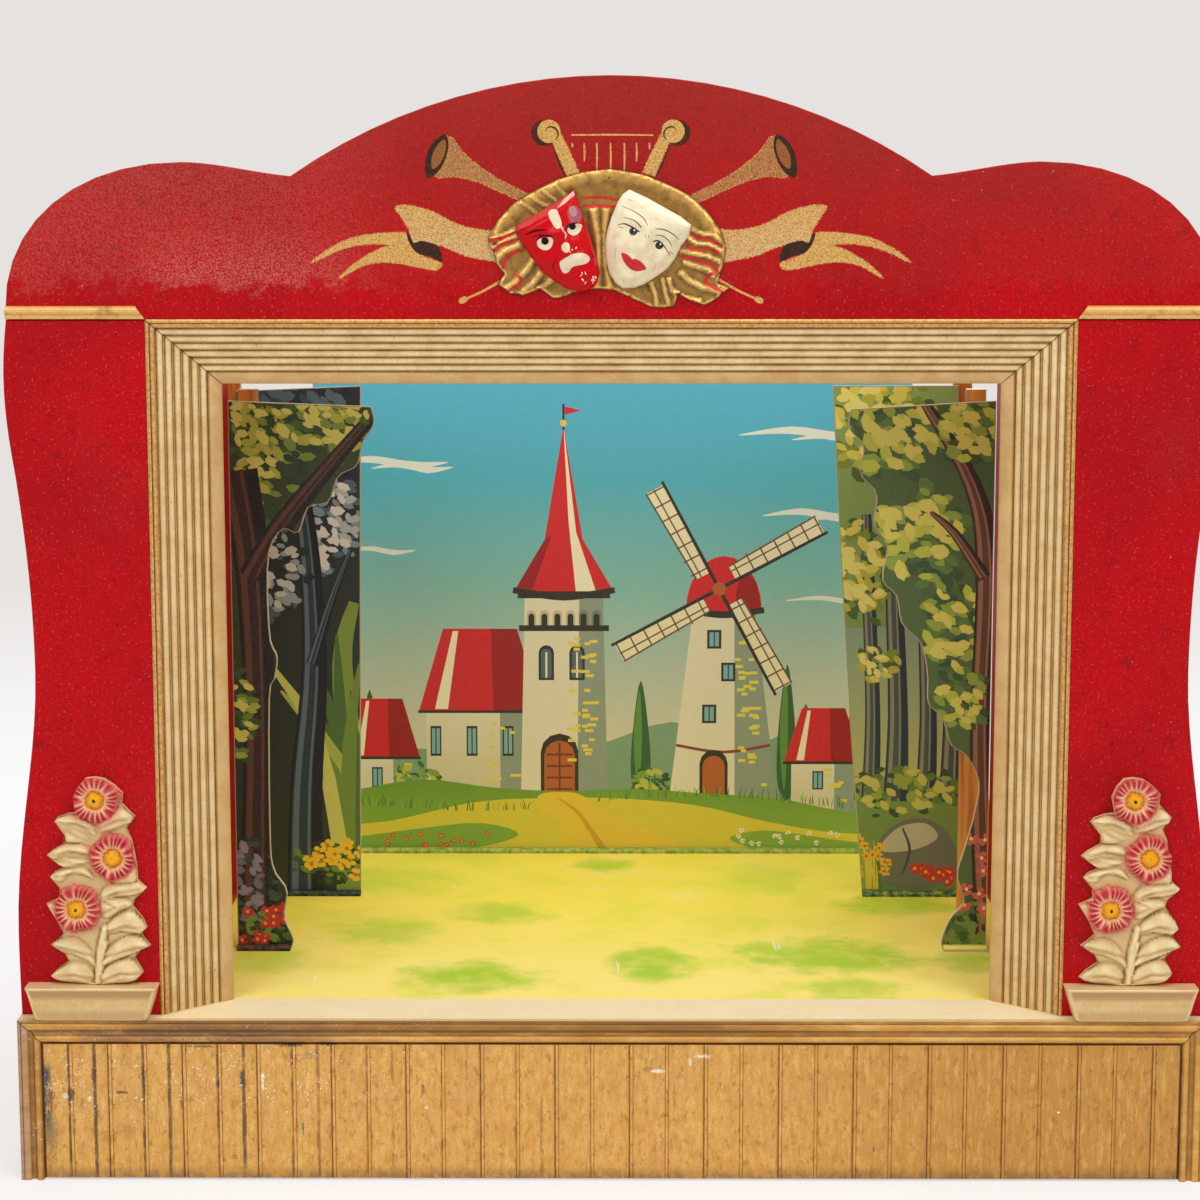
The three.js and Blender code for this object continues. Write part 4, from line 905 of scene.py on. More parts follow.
def crestPaint():
    p = crestInks
    shapes = []

    def mirrored(points, side):
        return [(x * -side, z) for x, z in points]

    def gilded(points, paint, spray=True):
        ring = turnedLeft(list(points))
        if spray:
            shapes.append((insetLoop(ring, -p["spray"]), tint(p["gold"], 0.3)))
            shapes.append((insetLoop(ring, -p["spray"] * 0.4), tint(p["gold"], 0.6)))
        shapes.append((ring, paint))

    bell = [(-108.2, 707.3), (-106.2, 701.2), (-107.5, 693.8), (-110.9, 686.3), (-115.1, 681.4),
            (-120.2, 679.3), (-121.8, 683.9), (-121.3, 691.3), (-118.7, 698.7), (-114.1, 704.5)]
    bellInside = [(-108.6, 704), (-107.9, 699.5), (-109.5, 692.9), (-112.8, 687.4), (-116.2, 685),
                  (-117.6, 686.6), (-117.3, 692.9), (-114.8, 698.5), (-111.3, 702.8)]
    tube = [(-106.9, 706), (-97.4, 696), (-87.4, 687.4), (-75, 679), (-55.8, 669.2), (-49.9, 666.3),
            (-51.6, 661.3), (-61.7, 665.5), (-78.3, 673), (-89.2, 677.3), (-102.5, 680.4), (-116, 681.2)]
    band = [
        (-141.3, 659.5), (-138.3, 661.4), (-128.7, 660.7), (-115.4, 656.5), (-103.7, 650.3), (-92.8, 646.6),
        (-80.3, 644.9), (-70.2, 644.1), (-70.3, 625.8), (-82.9, 626.2), (-95.5, 628.7), (-105.5, 632.9),
        (-116.4, 636.6), (-124.7, 638.4), (-129.8, 637), (-132.2, 644.9), (-137.2, 653.2)]
    tails = [
        (-133.9, 642.9), (-144, 643.7), (-157.4, 642.5), (-170.9, 640), (-182.7, 634.6), (-191.2, 629.2),
        (-197.1, 624.2), (-189.5, 627.5), (-179.4, 632.1), (-167.6, 635.4), (-154.1, 636.5),
        (-145.7, 635.4), (-154.2, 632.1), (-162.6, 627.5), (-171.1, 621.6), (-178.8, 614.1),
        (-171.1, 618.3), (-162.7, 622.5), (-150.9, 624.6), (-139.2, 623.7), (-129.1, 621.6),
        (-117.4, 619.5), (-113.6, 620), (-111.5, 623.3), (-119, 626.6), (-126.5, 629.5), (-131.5, 635.8)]
    fold = [(-134.3, 642.9), (-132.3, 642.4), (-129.8, 637), (-125.6, 638.4), (-119.7, 637.4),
            (-113, 634.5), (-110.8, 624.5), (-118.1, 627.9), (-126.5, 629.8), (-130.7, 633.7),
            (-133.1, 638.3)]
    arm = [(-37.7, 701.4), (-33.1, 691.1), (-28.6, 680.8), (-21.1, 682.8), (-26.5, 695.2), (-33.1, 708),
           (-35.2, 711.7)]
    armShadow = [(-38.9, 700.8), (-35.6, 691.8), (-32.6, 684), (-29.8, 680.2), (-28.2, 681), (-32.7, 690.3),
                 (-36.9, 700.9)]
    for side in (-1, 1):
        shapes += [(smoothLoop(mirrored(armShadow, side), 3), tint(p["dark"], 0.82)),
                   (oval(side * 43.4, 708.3, 8.8, 8.6, 20), tint(p["dark"], 0.85))]
        gilded(mirrored(arm, side), tint(p["gold"], 0.9))
        gilded(oval(side * 40.6, 709.3, 7.6, 7.6, 20), tint(p["gold"], 0.9), spray=False)
        curl = [(-42.7, 710.2), (-40.6, 712.1), (-37.3, 711.7), (-34.9, 709.2), (-34.8, 705.9),
                (-36.6, 703.9)]
        shapes.append((stroke(mirrored(curl, side), [0.5, 0.9, 1.1, 1.1, 0.9, 0.4]), tint(p["dark"], 0.9)))
        gilded(smoothLoop(mirrored(tube, side), 3), tint(p["tube"], 0.84 if side < 0 else 0.78))
        shapes += [
            (smoothLoop(mirrored(bell, side), 3), tint(p["dark"], 0.95)),
            (smoothLoop(mirrored(bellInside, side), 3), tint(p["brown"], 0.8)),
            (insetLoop(turnedLeft(mirrored(bellInside, side)), 1.6), tint("8f6636", 0.8))]
        gilded(smoothLoop(mirrored(tails, side), 3), tint(p["gold"], 0.9))
        gilded(smoothLoop(mirrored(band, side), 3),
               lambda x, z: fade(626, 662, p["pale"], p["gold"])(x, z)[:3] + (0.88,))
        shapes.append((smoothLoop(mirrored(fold, side), 2), tint(p["dark"], 0.97)))
        gilded(stroke(mirrored([(-70, 613.5), (-83.9, 605.7), (-95.1, 600.6)], side), [1.9, 1.5, 1.3]),
               tint(p["gold"], 0.95), spray=False)
        gilded(oval(side * 97.4, 599.6, 3.4, 2.1, 12, side * -0.45), tint(p["gold"], 0.95), spray=False)
    shapes.append((stroke([(-26.1, 706.9), (0, 707.1), (27.7, 706.8)], [0.9, 1.2, 0.9]),
                   tint(p["gold"], 0.97)))
    for x, low in [(-25.4, 699.0), (-17.5, 690.0), (-9.3, 684.0), (-0.3, 683.0), (8.7, 683.6), (16.7, 690.0),
                   (25.1, 697.8)]:
        shapes.append((stroke([(x, 701.8), (x + 0.2, (701.8 + low) / 2), (x, low)], [0.9, 1.3, 0.8]),
                       tint(p["gold"], 0.93)))
    return shapes


boardRound = 0.9
for name, shapes, body, material in [("crest_panel", crestPaint(), "crest", crestRed),
                                     ("wing_left", [], "stage", redBoards),
                                     ("wing_right", [], "stage", redBoards)]:
    low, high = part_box(name)
    outline = insetLoop(frontOutline(name), boardRound)
    painted = printedSheet(name + "_board", outline, shapes, low.y, high.y - low.y, body, "red_lacquer",
                           material, ground="b5101b", rim=boardRound, clear=0.0)
    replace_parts(painted, name)
print("red boards, with the crest's painting")


# Swept pieces: the reeded surround, the gilt moulding and the beaded panel

def tubePiece(name, spots, count, body, slot, material, marks):
    # a closed tube through rings of so many spots each; marks hold one value for each spot
    faces = []
    for start in range(0, len(spots) - count, count):
        for i in range(count):
            n = (i + 1) % count
            faces.append([start + i, start + n, start + count + n, start + count + i])
    faces += [list(range(count))[::-1], list(range(len(spots) - count, len(spots)))]
    piece = addPiece(name, spots, facesOut(spots, faces), body, slot, material)
    for mark, values in marks.items():
        piece.data.attributes.new(mark, "FLOAT", "POINT").data.foreach_set("value", values)
    return piece


def swept(name, section, marks, stations, place, body, slot, material, wobble=0.0):
    # section: points (a, b); marks: attribute name -> one value for each point; stations run along the length
    rng = random.Random(len(name) * 7 + len(section))
    count = len(section)
    spots = []
    drift = [0] * count
    for s in stations:
        drift = [0.8 * d + rng.uniform(-wobble, wobble) * 0.5 for d in drift]
        spots += [tuple(v * mm for v in place(a, b + d, s)) for (a, b), d in zip(section, drift)]
    return tubePiece(name, spots, count, body, slot, material,
                     {mark: list(values) * len(stations) for mark, values in marks.items()})


def arc(centre, across, up, start, end, steps):
    return [(centre[0] + across * math.cos(math.radians(start + (end - start) * i / steps)),
             centre[1] + up * math.sin(math.radians(start + (end - start) * i / steps)))
            for i in range(steps + 1)]


benchFront = benchBack / mm
theatre = {"half": 404, "deckTop": 113, "joint": 587, "opening": 308, "gap": 0.4}
reeds = {"width": 44.5, "depth": 40, "board": 8, "count": 6, "rise": 2.2, "quirk": 0.6, "fillet": 2.4,
         "bead": 4.8, "strip": 11.6, "floor": 0.36, "wobble": 0.05}


def reedSection():
    r = reeds
    length = math.hypot(r["width"], r["depth"])
    across, back = r["width"] / length, r["depth"] / length
    low, high = r["board"] - r["quirk"], r["board"] + r["rise"]
    # each point: across the section, its height, how much glaze and painted shade it takes, and whether it is
    # gilt
    points = [(0, r["board"], 0, 1), (0.3, high - 0.8, 0, 1), (r["fillet"] - 0.7, high - 0.5, 0, 1)]

    def ridge(start, width, gold, after=False):
        flat = 0.35 if gold else r["floor"] * width / 2
        if after:
            points.extend([(start - 0.6, low - 0.1, 0.95, 0), (start - 0.36, low + 0.8, 0.4, 0),
                           (start, low + 1.05, 0.3, 0), (start + 0.36, low + 0.8, 0.4, 0),
                           (start + 0.6, low - 0.1, 0.95, 0), (start + 0.85, low + 0.04, 0.5, 0)])
        else:
            points.append((start + 0.04, low, 1, gold))
            points.append((start + 0.22, low + 0.04, 0.72, gold))
        points.append((start + flat, low + 0.12, 0.44, gold))
        half = width / 2 - flat
        for a, b in arc((start + width / 2, r["board"]), -half, r["rise"], 0, 180, 10):
            rise = (b - r["board"]) / r["rise"]
            points.append((a, b, max(0.0, 0.55 - 1.1 * rise), gold))
        points.append((start + width - flat, low + 0.12, 0.44, gold))
        points.append((start + width - 0.8, low + 0.04, 0.55, gold))

    ridge(r["fillet"], r["bead"], 1)
    start = r["fillet"] + r["bead"]
    pitch = (length - start - r["strip"]) / r["count"]
    for i in range(r["count"]):
        ridge(start + i * pitch, pitch, 0, i > 0)
    edge = length - r["strip"]
    points += [
        (edge, low, 1, 0), (edge + 0.5, high - 1.0, 0.5, 0), (edge + 1.0, high - 0.4, 0.15, 0),
        (edge + 1.9, high, 0, 0), (length - 3.0, high, 0, 0), (length - 1.6, high - 0.3, 0, 0),
        (length - 0.6, high - 0.9, 0, 0), (length, high - 2.0, 0.1, 0), (length, 0, 0.2, 0)]
    section = []
    for t, h, _, _ in points:
        proud = h - r["board"]
        section.append((t * across + proud * back, t * back - proud * across))
    first = (-r["board"] * back, r["board"] * across)
    section.append((0, first[1] - first[0] * r["depth"] / r["width"]))
    groove = [p[2] for p in points] + [0.3]
    gold = [p[3] for p in points] + [0]
    strip = [1 if p[0] > edge + 0.4 else 0 for p in points] + [0]
    return section, {"groove": groove, "gold": gold, "strip": strip}


def aroundOpening(names, section, marks, half, top, foot, step, bodies, slot, material, wobble):
    # the top rail and two uprights of a frame that is mitred at its upper corners
    gap = theatre["gap"]
    depth = max(a for a, _ in section)
    pieces = []
    count = max(int(2 * half / step), 2)
    inner = [-1 + 2 * i / count for i in range(count + 1)]

    def acrossTop(a, b, s):
        return s * (half - a - gap), b - benchFront, top - a

    pieces.append(swept(names[0] + "_board", section, marks, inner, acrossTop, bodies[0], slot, material,
                        wobble))
    count = max(int((top - foot - depth) / step), 2)
    rises = [i / count for i in range(count + 1)]
    for name, side in ((names[1], -1), (names[2], 1)):

        def upSide(a, b, s, side=side):
            return side * (half - a), b - benchFront, foot + s * (top - a - gap - foot)

        pieces.append(swept(name + "_board", section, marks, rises, upSide, bodies[1], slot, material,
                            wobble))
    for piece, name in zip(pieces, names):
        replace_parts(piece, name)
    return pieces


def reedPaint(name):
    # cream paint with a brown glaze and painted shade in the grooves and low on the reeds' flanks, and two
    # gilt ridges along the outer edge
    look = Look(name, roughness=0.45, specular=0.3)
    groove, gold, strip = [look.attribute(word) for word in ("groove", "gold", "strip")]
    streak = look.noise(2, 4, 0.6)
    mottle = look.noise(16, 6, 0.65)
    cream = mottle.ease(0.35, 0.7).blend("eed6a2", "dcbd84")
    cream = streak.ease(0.5, 0.72, 0, 0.4).blend(cream, "cfa868")
    glazeAndShade = streak.ease(0.35, 0.65).blend("9c6f34", "c69a58")
    # wear here is how far the glaze and the painted shade reach out of the grooves, on the cream and on the
    # gilt ridges alike
    wear = (groove + mottle * 0.3).ease(0.3, 0.72)
    cream = wear.blend(cream, glazeAndShade)
    # darkest along the bottoms of the grooves: a dark glaze line deepened by painted shade
    deep = groove.ease(0.74, 1) * mottle.ease(0.35, 0.65, 0.3, 0.85)
    cream = deep.blend(cream, "5c3c1a")
    specks = look.noise(2.6, 2).ease(0.72, 0.77, 0, 0.6)
    cream = specks.blend(cream, "6e4f28")
    tan = mottle.ease(0.35, 0.65).blend("cfa76e", "c29660")
    cream = (strip * 0.72).blend(cream, tan)
    cream = look.place("Z").ease(0.555, 0.5, 0, 0.28).blend(cream, "bc9350")
    leaf = streak.ease(0.35, 0.65).blend("c08a48", "dcb070")
    leaf = wear.blend(leaf, "7a5220")
    look.give("Base Color", gold.blend(cream, leaf))
    look.give("Metallic", gold * 0.45)
    look.give("Roughness", mottle.ease(0.3, 0.7, 0.38, 0.55))
    look.relief(streak + mottle, 0.12, 0.4)
    return look.material


reedColour = reedPaint("reedPaint")
section, marks = reedSection()
aroundOpening(["reeded_top", "reeded_left", "reeded_right"], section, marks, theatre["opening"],
              theatre["joint"], theatre["deckTop"], 14, ["crest", "stage"], "reed_paint", reedColour,
              reeds["wobble"])
print("reeded surround")


# Stage box: the moulding and the beaded panel, gold over brown, worn most at the left

moulding = {"reach": 14, "thick": 6, "face": 15.6, "fillet": 2.3, "filletBack": 0.6, "torus": 2.4,
            "proud": 1.6, "cove": 1.4, "bead": 2.4, "wobble": 0.06}


def mouldingSection():
    m = moulding
    front, back = -m["reach"], m["thick"] - m["reach"]
    fillet, low = front + m["filletBack"], front + m["proud"]
    coveStart = m["fillet"] + 2 * m["torus"]
    coveHalf = (m["face"] - 2 * m["bead"] - coveStart) / 2
    # each row: down the moulding, back from its front, and how far the point lies in the hollows or under the
    # bead, which sets its painted shade and its grime
    rows = [(0, back, 0), (0, fillet + 1.0, 0.1), (0, fillet + 0.3, 0.5), (0.3, fillet, 0.75),
            (m["fillet"] - 0.3, fillet, 0.7), (m["fillet"] - 0.1, fillet + 0.3, 0.85)]
    torus = arc((m["fillet"] + m["torus"], low), m["torus"], m["proud"], 186, 354, 13)
    rows += [(a, b, 0.05) for a, b in torus]
    rows += [(a, b, 0.75) for a, b in arc((coveStart + coveHalf, low), coveHalf, m["cove"], 165, 15, 7)]
    bead = arc((m["face"] - m["bead"], front + m["bead"]), m["bead"], m["bead"], 186, 358, 13)
    rows += [(a, b, 0.15 if i < 9 else 0.6) for i, (a, b) in enumerate(bead)]
    rows.append((m["face"], back, 1))
    return [row[:2] for row in rows], {"groove": [row[2] for row in rows]}


def ovalReach(one, other, middle, otherMiddle, half, otherHalf):
    # 0 in the middle of an oval and 1 at its edge
    a = (one - middle) / half
    b = (other - otherMiddle) / otherHalf
    return a * a + b * b


def touched(look, base, rows, edge):
    # single stains, chips and scratches: each one's x, z, half width, half height, colour and strength
    wander = (look.noise(2.4, 4, 0.75).ease(0.3, 0.7, -edge, edge)
              + look.noise(0.8, 2, 0.6).ease(0.35, 0.65, -edge, edge))
    across, up = look.place("X"), look.place("Z")
    for x, z, wide, tall, colour, strength in rows:
        reach = ovalReach(across, up, x * mm, z * mm, wide * mm, tall * mm)
        base = (reach + wander).ease(1.1, 0.5, 0, strength).blend(base, colour)
    return base


# where the moulding's wear begins and ends, in metres: across it, and up it
mouldWear = {
    "dullRight": (0.17, 0.06), "dullLeft": (-0.36, -0.3), "wornTo": (-0.15, -0.24), "ends": (0.396, 0.3985),
    "lip": (0.1035, 0.1045), "bead": (0.1098, 0.1065), "post": (0.098, 0.096), "flatTop": (0.1124, 0.1127)}


def mouldPaint(name):
    # gold paint, rubbed dull in the middle and worn to a purple brown on the left and down both ends;
    # the apron's cream runs over its flat top
    look = Look(name, roughness=0.4, metallic=0.2, specular=0.4)
    w = mouldWear
    groove = look.attribute("groove")
    across, up = look.place("X"), look.place("Z")
    mottle = look.noise(9, 6, 0.65, stretch=(0.3, 1, 1))
    streak = look.noise(5, 5, 0.7, stretch=(0.25, 1, 0.6))
    fine = look.noise(0.9, 3, 0.7)
    gold = mottle.ramp((0.3, "c48838"), (0.5, "d69e4a"), (0.68, "e6b668"))
    dull = mottle.ramp((0.3, "80561e"), (0.5, "936428"), (0.68, "aa7a3a"))
    middle = across.ease(*w["dullRight"]) * across.ease(*w["dullLeft"]) * up.ease(*w["lip"])
    base = (middle * 0.9).blend(gold, dull)
    base = fine.ease(0.45, 0.62, 0, 0.35).blend(base, "96642c")
    # darker on the fillet, in the quirk and the cove and under the bead: painted shade
    hollow = groove * streak.ease(0.3, 0.6, 0.45, 0.95)
    base = hollow.blend(base, "80582a")
    ends = abs(across).ease(*w["ends"])
    left = across.ease(-0.395, -0.335, 0.25, 1) * across.ease(*w["wornTo"])
    along = left * up.ease(*w["bead"])
    upper = across.ease(-0.34, -0.29) * across.ease(-0.16, -0.23, 0, 0.5)
    along = look.math("MAXIMUM", along, upper)
    cleared = up.ease(*w["post"]) * across.ease(-0.37, -0.38, 1, 0)
    brown = look.math("MAXIMUM", along, ends * 0.7) * streak.ease(0.34, 0.5)
    brown = brown * (1.0 - cleared)
    base = (brown * 0.62).blend(base, mottle.blend("684236", "86604a"))
    greyed = ends * across.ease(-0.3, -0.35) * mottle.ease(0.34, 0.62, 0.25, 0.75)
    base = greyed.blend(base, "b8967a")
    base = groove.ease(0.9, 1, 0, 0.8).blend(base, "3c2212")
    grime = groove.ease(0.5, 0.9) * (across.ease(-0.28, -0.25) * across.ease(-0.14, -0.17))
    grime = grime * up.ease(0.1, 0.0985) * streak.ease(0.35, 0.5)
    base = grime.blend(base, "34383c")
    flecks = look.noise(1.5, 2, 0.8).ease(0.64, 0.68) * look.noise(20, 3).ease(0.48, 0.6)
    flecks = flecks * across.ease(0.02, -0.2, 0.06, 0.9)
    base = flecks.blend(base, "ece2d2")
    top = look.facing("Z").ease(0.75, 0.9) * up.ease(*w["flatTop"])
    chipped = 1.0 - look.noise(6, 5, 0.7).ease(0.68, 0.72, 0, 0.7)
    base = (top * chipped).blend(base, mottle.ease(0.35, 0.65).blend("ecd096", "dfbd80"))
    look.give("Base Color", base)
    look.give("Roughness", mottle.ease(0.3, 0.7, 0.32, 0.5))
    look.relief(mottle + fine, 0.18, 0.5)
    return look.material


panelMarks = [
    (-381.4, 59.8, 2.6, 3.2, "8a4a2c", 0.85), (-382.2, 52, 0.8, 7.5, "7c4426", 0.7),
    (-372.5, 59.4, 2.6, 1.9, "d8d2c8", 0.8), (-368.4, 60.7, 2.2, 4.2, "3a3a38", 0.8),
    (-352.6, 73.9, 1.8, 7, "45403a", 0.75), (-333.7, 62, 4.6, 1, "4a2c18", 0.8),
    (-318.9, 71.9, 1.5, 12, "4a443c", 0.75), (-301.2, 78.9, 1.5, 7.5, "5a4a36", 0.7),
    (-268.2, 68.2, 1.5, 3, "3f474a", 0.8), (-251.4, 71.7, 1.9, 5.2, "4a4640", 0.85),
    (-237.7, 69.1, 0.8, 5.8, "eee6d8", 0.95), (-237.5, 73.3, 1.4, 2, "f2ebde", 0.95),
    (-210.5, 36.7, 0.9, 4.6, "3f6a62", 0.8), (-257, 16.4, 1.5, 1.5, "6a4018", 0.8),
    (-257, 16.4, 0.8, 0.8, "cf9c50", 1), (-128.3, 64.7, 1.1, 4.6, "6a5234", 0.75),
    (31.8, 77.6, 5.4, 1.3, "f0e6d4", 0.95), (25.1, 78.9, 3, 2, "8a6238", 0.6),
    (43.2, 59, 0.9, 9, "8c6230", 0.5), (179.6, 22.4, 0.8, 2.4, "5c6672", 0.9),
    (305, 48.7, 1.1, 0.7, "f4f4f2", 0.95), (-217.3, 95.9, 9, 1.6, "3c3e40", 0.85),
    (-192.4, 96.1, 6, 1.4, "3e4042", 0.8), (-279.1, 94.5, 12, 1, "403c38", 0.6),
    (-352.5, 40, 1.4, 16, "5a4330", 0.5), (-300.8, 40, 1.3, 20, "5c4530", 0.45),
    (-250.6, 45, 1.6, 11, "4c4236", 0.6), (-344, 30, 6, 5, "a5773f", 0.5),
    (-382, 30, 4, 16, "6a604c", 0.45), (-330, 36, 5, 8, "a87c48", 0.4), (-205, 88, 5, 3, "8a7a60", 0.4),
    (-356, 57.5, 1.6, 2, "f0e6d6", 0.8), (-126, 51.5, 1.6, 1.2, "efe2cc", 0.7),
    (62, 88, 6, 1.2, "efe6d2", 0.8), (54, 84, 1.2, 3, "efe6d2", 0.7)]


def panelPaint(name):
    # gold paint over brown on the beaded panel, streaked with wear beside the beads on its left half
    look = Look(name, roughness=0.42, metallic=0.2, specular=0.35)
    groove, wear = look.attribute("groove"), look.attribute("wear")
    across, up = look.place("X"), look.place("Z")
    cloud = look.noise(34, 4, 0.6)
    mottle = look.noise(6, 7, 0.75, stretch=(1, 1, 0.6))
    fine = look.noise(1, 3, 0.7)
    grain = look.noise(3.2, 6, 0.75, stretch=(1, 1, 0.16))
    streak = look.noise(5, 7, 0.78, stretch=(1, 1, 0.34))
    right = across.ease(0.05, 0.28)
    base = mottle.ramp((0.34, "c89040"), (0.5, "dfab58"), (0.64, "eabd70"))
    base = grain.ease(0.4, 0.62, 0, 0.5).blend(base, "c78f42")
    base = cloud.ease(0.45, 0.7, 0, 0.45).blend(base, "d29a58")
    base = (right * grain.ease(0.34, 0.56, 0.3, 0.8)).blend(base, "b88238")
    freckles = fine.ease(0.5, 0.66) * mottle.ease(0.44, 0.62, 0.05, 0.5)
    base = freckles.blend(base, "99662c")
    beside = groove.ease(0.1, 0.7) * mottle.ease(0.36, 0.56, 0.15, 0.6)
    base = beside.blend(base, "a87434")
    clinging = groove.ease(0, 0.35, 0.6, 1) * look.noise(4.5, 7, 0.82, stretch=(1, 1, 0.45)).ease(0.53, 0.6)
    base = (clinging * 0.8).blend(base, "865626")
    lines = (groove + streak * 0.8).ease(1.1, 1.75, 0, 0.8)
    base = lines.blend(base, across.ease(-0.12, -0.3).blend("865828", "5c432c"))
    left = across.ease(-0.1, -0.28)
    rub = wear * (0.72 + left * 0.38)
    rub = rub + streak * 2.2
    thin = rub.ease(1.7, 2.1, 0, 0.6) * wear.ease(0, 0.2)
    base = thin.blend(base, "8c5c2e")
    rub = rub.ease(1.95, 2.3) * wear.ease(0, 0.2)
    rubbed = rub * left.ease(0, 1, 0.45, 0.85)
    bare = left.ease(0.2, 0.9).blend("a06a30", mottle.ease(0.4, 0.6).blend("4c4640", "7c5430"))
    base = rubbed.blend(base, bare)
    # darker along the foot: painted shade where the panel meets the table
    low = up.ease(0.012, 0.002) * mottle.ease(0.4, 0.55, 0.2, 0.8)
    base = low.blend(base, "8a5f34")
    # a grey-blue shadow painted into the gap beside the left upright
    gapShadow = across.ease(-0.3805, -0.3845) * up.ease(0.015, 0.05)
    gapShadow = gapShadow * up.ease(0.09, 0.075) * streak.ease(0.36, 0.52)
    base = gapShadow.blend(base, "4d5456")
    base = touched(look, base, panelMarks, 0.55)
    flecks = look.noise(1.6, 2, 0.8).ease(0.63, 0.665) * look.noise(13, 4, 0.6).ease(0.47, 0.57)
    flecks = flecks * (up.ease(0.025, 0.07, 0.12, 1) * across.ease(-0.08, -0.2, 0.03, 1))
    base = flecks.blend(base, "fbf6ee")
    splash = look.noise(5.2, 4, 0.72).ease(0.69, 0.705)
    splash = splash * (up.ease(0.045, 0.075) * across.ease(-0.16, -0.24))
    base = splash.blend(base, "f6f0e6")
    look.give("Base Color", base)
    look.give("Roughness", mottle.ease(0.3, 0.7, 0.36, 0.56))
    look.relief(mottle + fine * 0.5, 0.2, 0.5)
    return look.material


mouldGold = mouldPaint("mouldGold")
panelWear = panelPaint("panelWear")
section, marks = mouldingSection()
aroundOpening(["base_moulding_top", "base_moulding_left", "base_moulding_right"], section, marks,
              theatre["half"], theatre["deckTop"], 0, 20, ["stage", "stage"], "gilt_wood", mouldGold,
              moulding["wobble"])

panel = {"pitch": 25.4, "board": 4, "gap": 1.5, "beadHalf": 0.9, "proud": 0.35, "quirk": 0.5, "deep": 0.55,
         "seam": 0.8, "seamDeep": 0.95, "leftStreak": 9.3, "rightStreak": 7.4}


def panelSection():
    # each strip has a bead along its seam and one down its middle; wear says where the paint is thin
    p = panel
    half = theatre["half"] - moulding["face"] - p["gap"]
    back = moulding["thick"] - moulding["reach"]
    face = back - p["board"]
    count = int(half / p["pitch"])
    rows = [(-half, back, 0.6, 0), (-half, face + 0.4, 0.5, 0), (-half + 0.5, face, 0.2, 0)]
    for i in range(-count, count):
        line = (2 * i + 1) * p["pitch"] / 2
        if i % 2:
            x, deep = line, p["deep"]
            rub = 1 if line < 0 else 0.25
            rows += [(x - 3.4, face, 0, 0), (x - 2.2, face - 0.03, 0.1, rub),
                     (x - p["beadHalf"] - p["quirk"], face, 0.35, rub)]
            rows += [(x - p["beadHalf"] - 0.12, face + deep * 0.75, 0.8, rub)]
        else:
            x, deep = line + p["seam"] / 2 + p["beadHalf"], p["seamDeep"]
            if line < 0:
                s = line - p["leftStreak"]
                rows += [(s - 2.0, face, 0, 0), (s - 0.9, face - 0.04, 0, 1), (s + 0.9, face - 0.04, 0, 1),
                         (s + 2.2, face, 0, 0)]
            rows += [(line - p["seam"] / 2 - 1.4, face, 0.15, 0.2),
                     (line - p["seam"] / 2 - 0.1, face + 0.05, 0.7, 0.3)]
            rows += [(line - p["seam"] / 2 + 0.15, face + deep, 1, 0.3),
                     (x - p["beadHalf"], face + deep, 1, 0.3)]
        rows += [(a, b, 0.12, 0.3) for a, b in arc((x, face), -p["beadHalf"] * 0.96, -p["proud"], 15, 165, 7)]
        rows += [(x + p["beadHalf"] + 0.12, face + p["deep"] * 0.75, 0.8, 0.3),
                 (x + p["beadHalf"] + p["quirk"], face, 0.3, 0.3), (x + 3.4, face, 0, 0)]
        if i % 2 and line > 0:
            s = x + p["rightStreak"]
            rows += [(s - 1.8, face, 0, 0), (s - 0.6, face - 0.03, 0, 0.7), (s + 0.8, face - 0.03, 0, 0.7),
                     (s + 2.0, face, 0, 0)]
    rows += [(half - 0.5, face, 0.2, 0), (half, face + 0.4, 0.5, 0), (half, back, 0.6, 0)]
    return [row[:2] for row in rows], {"groove": [row[2] for row in rows], "wear": [row[3] for row in rows]}


def upPanel(a, b, s):
    return a, b - benchFront, s


section, marks = panelSection()
height = theatre["deckTop"] - moulding["face"] - 2 * panel["gap"]
rises = [panel["gap"] + height * i / 12 for i in range(13)]
beadedPanel = swept("base_front_panel_board", section, marks, rises, upPanel, "stage", "gilt_wood",
                    panelWear, 0.0)
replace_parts(beadedPanel, "base_front_panel")
print("moulding and beaded panel")


# The gold plaque and its two masks: reliefs whose height and paint are drawn in the board's own millimetres

def nearLine(points, x, z):
    # distance to a line of several points
    best = 1e9
    for (ax, az), (bx, bz) in zip(points, points[1:]):
        dx, dz = bx - ax, bz - az
        t = max(0.0, min(1.0, ((x - ax) * dx + (z - az) * dz) / (dx * dx + dz * dz)))
        best = min(best, math.hypot(x - ax - t * dx, z - az - t * dz))
    return best


def ridge(points, wide, tall, x, z):
    return tall * math.exp(-(nearLine(points, x, z) / wide) ** 2)


def mixed(a, b, share):
    share = min(max(share, 0.0), 1.0)
    return tuple(p + (q - p) * share for p, q in zip(a, b))


def curveOf(height, step):
    # how far a place stands out from its neighbours, worked out once for each place of a grid
    known, bends = {}, {}

    def rise(i, k):
        if (i, k) not in known:
            known[i, k] = height(i * step, k * step)
        return known[i, k]

    def bend(i, k):
        if (i, k) not in bends:
            bends[i, k] = rise(i, k) - (rise(i - 1, k) + rise(i + 1, k) + rise(i, k - 1) + rise(i, k + 1)) / 4
        return bends[i, k]

    def between(x, z):
        i, k = math.floor(x / step), math.floor(z / step)
        s, t = x / step - i, z / step - k
        return tuple((of(i, k) * (1 - s) + of(i + 1, k) * s) * (1 - t)
                     + (of(i, k + 1) * (1 - s) + of(i + 1, k + 1) * s) * t for of in (rise, bend))
    return between


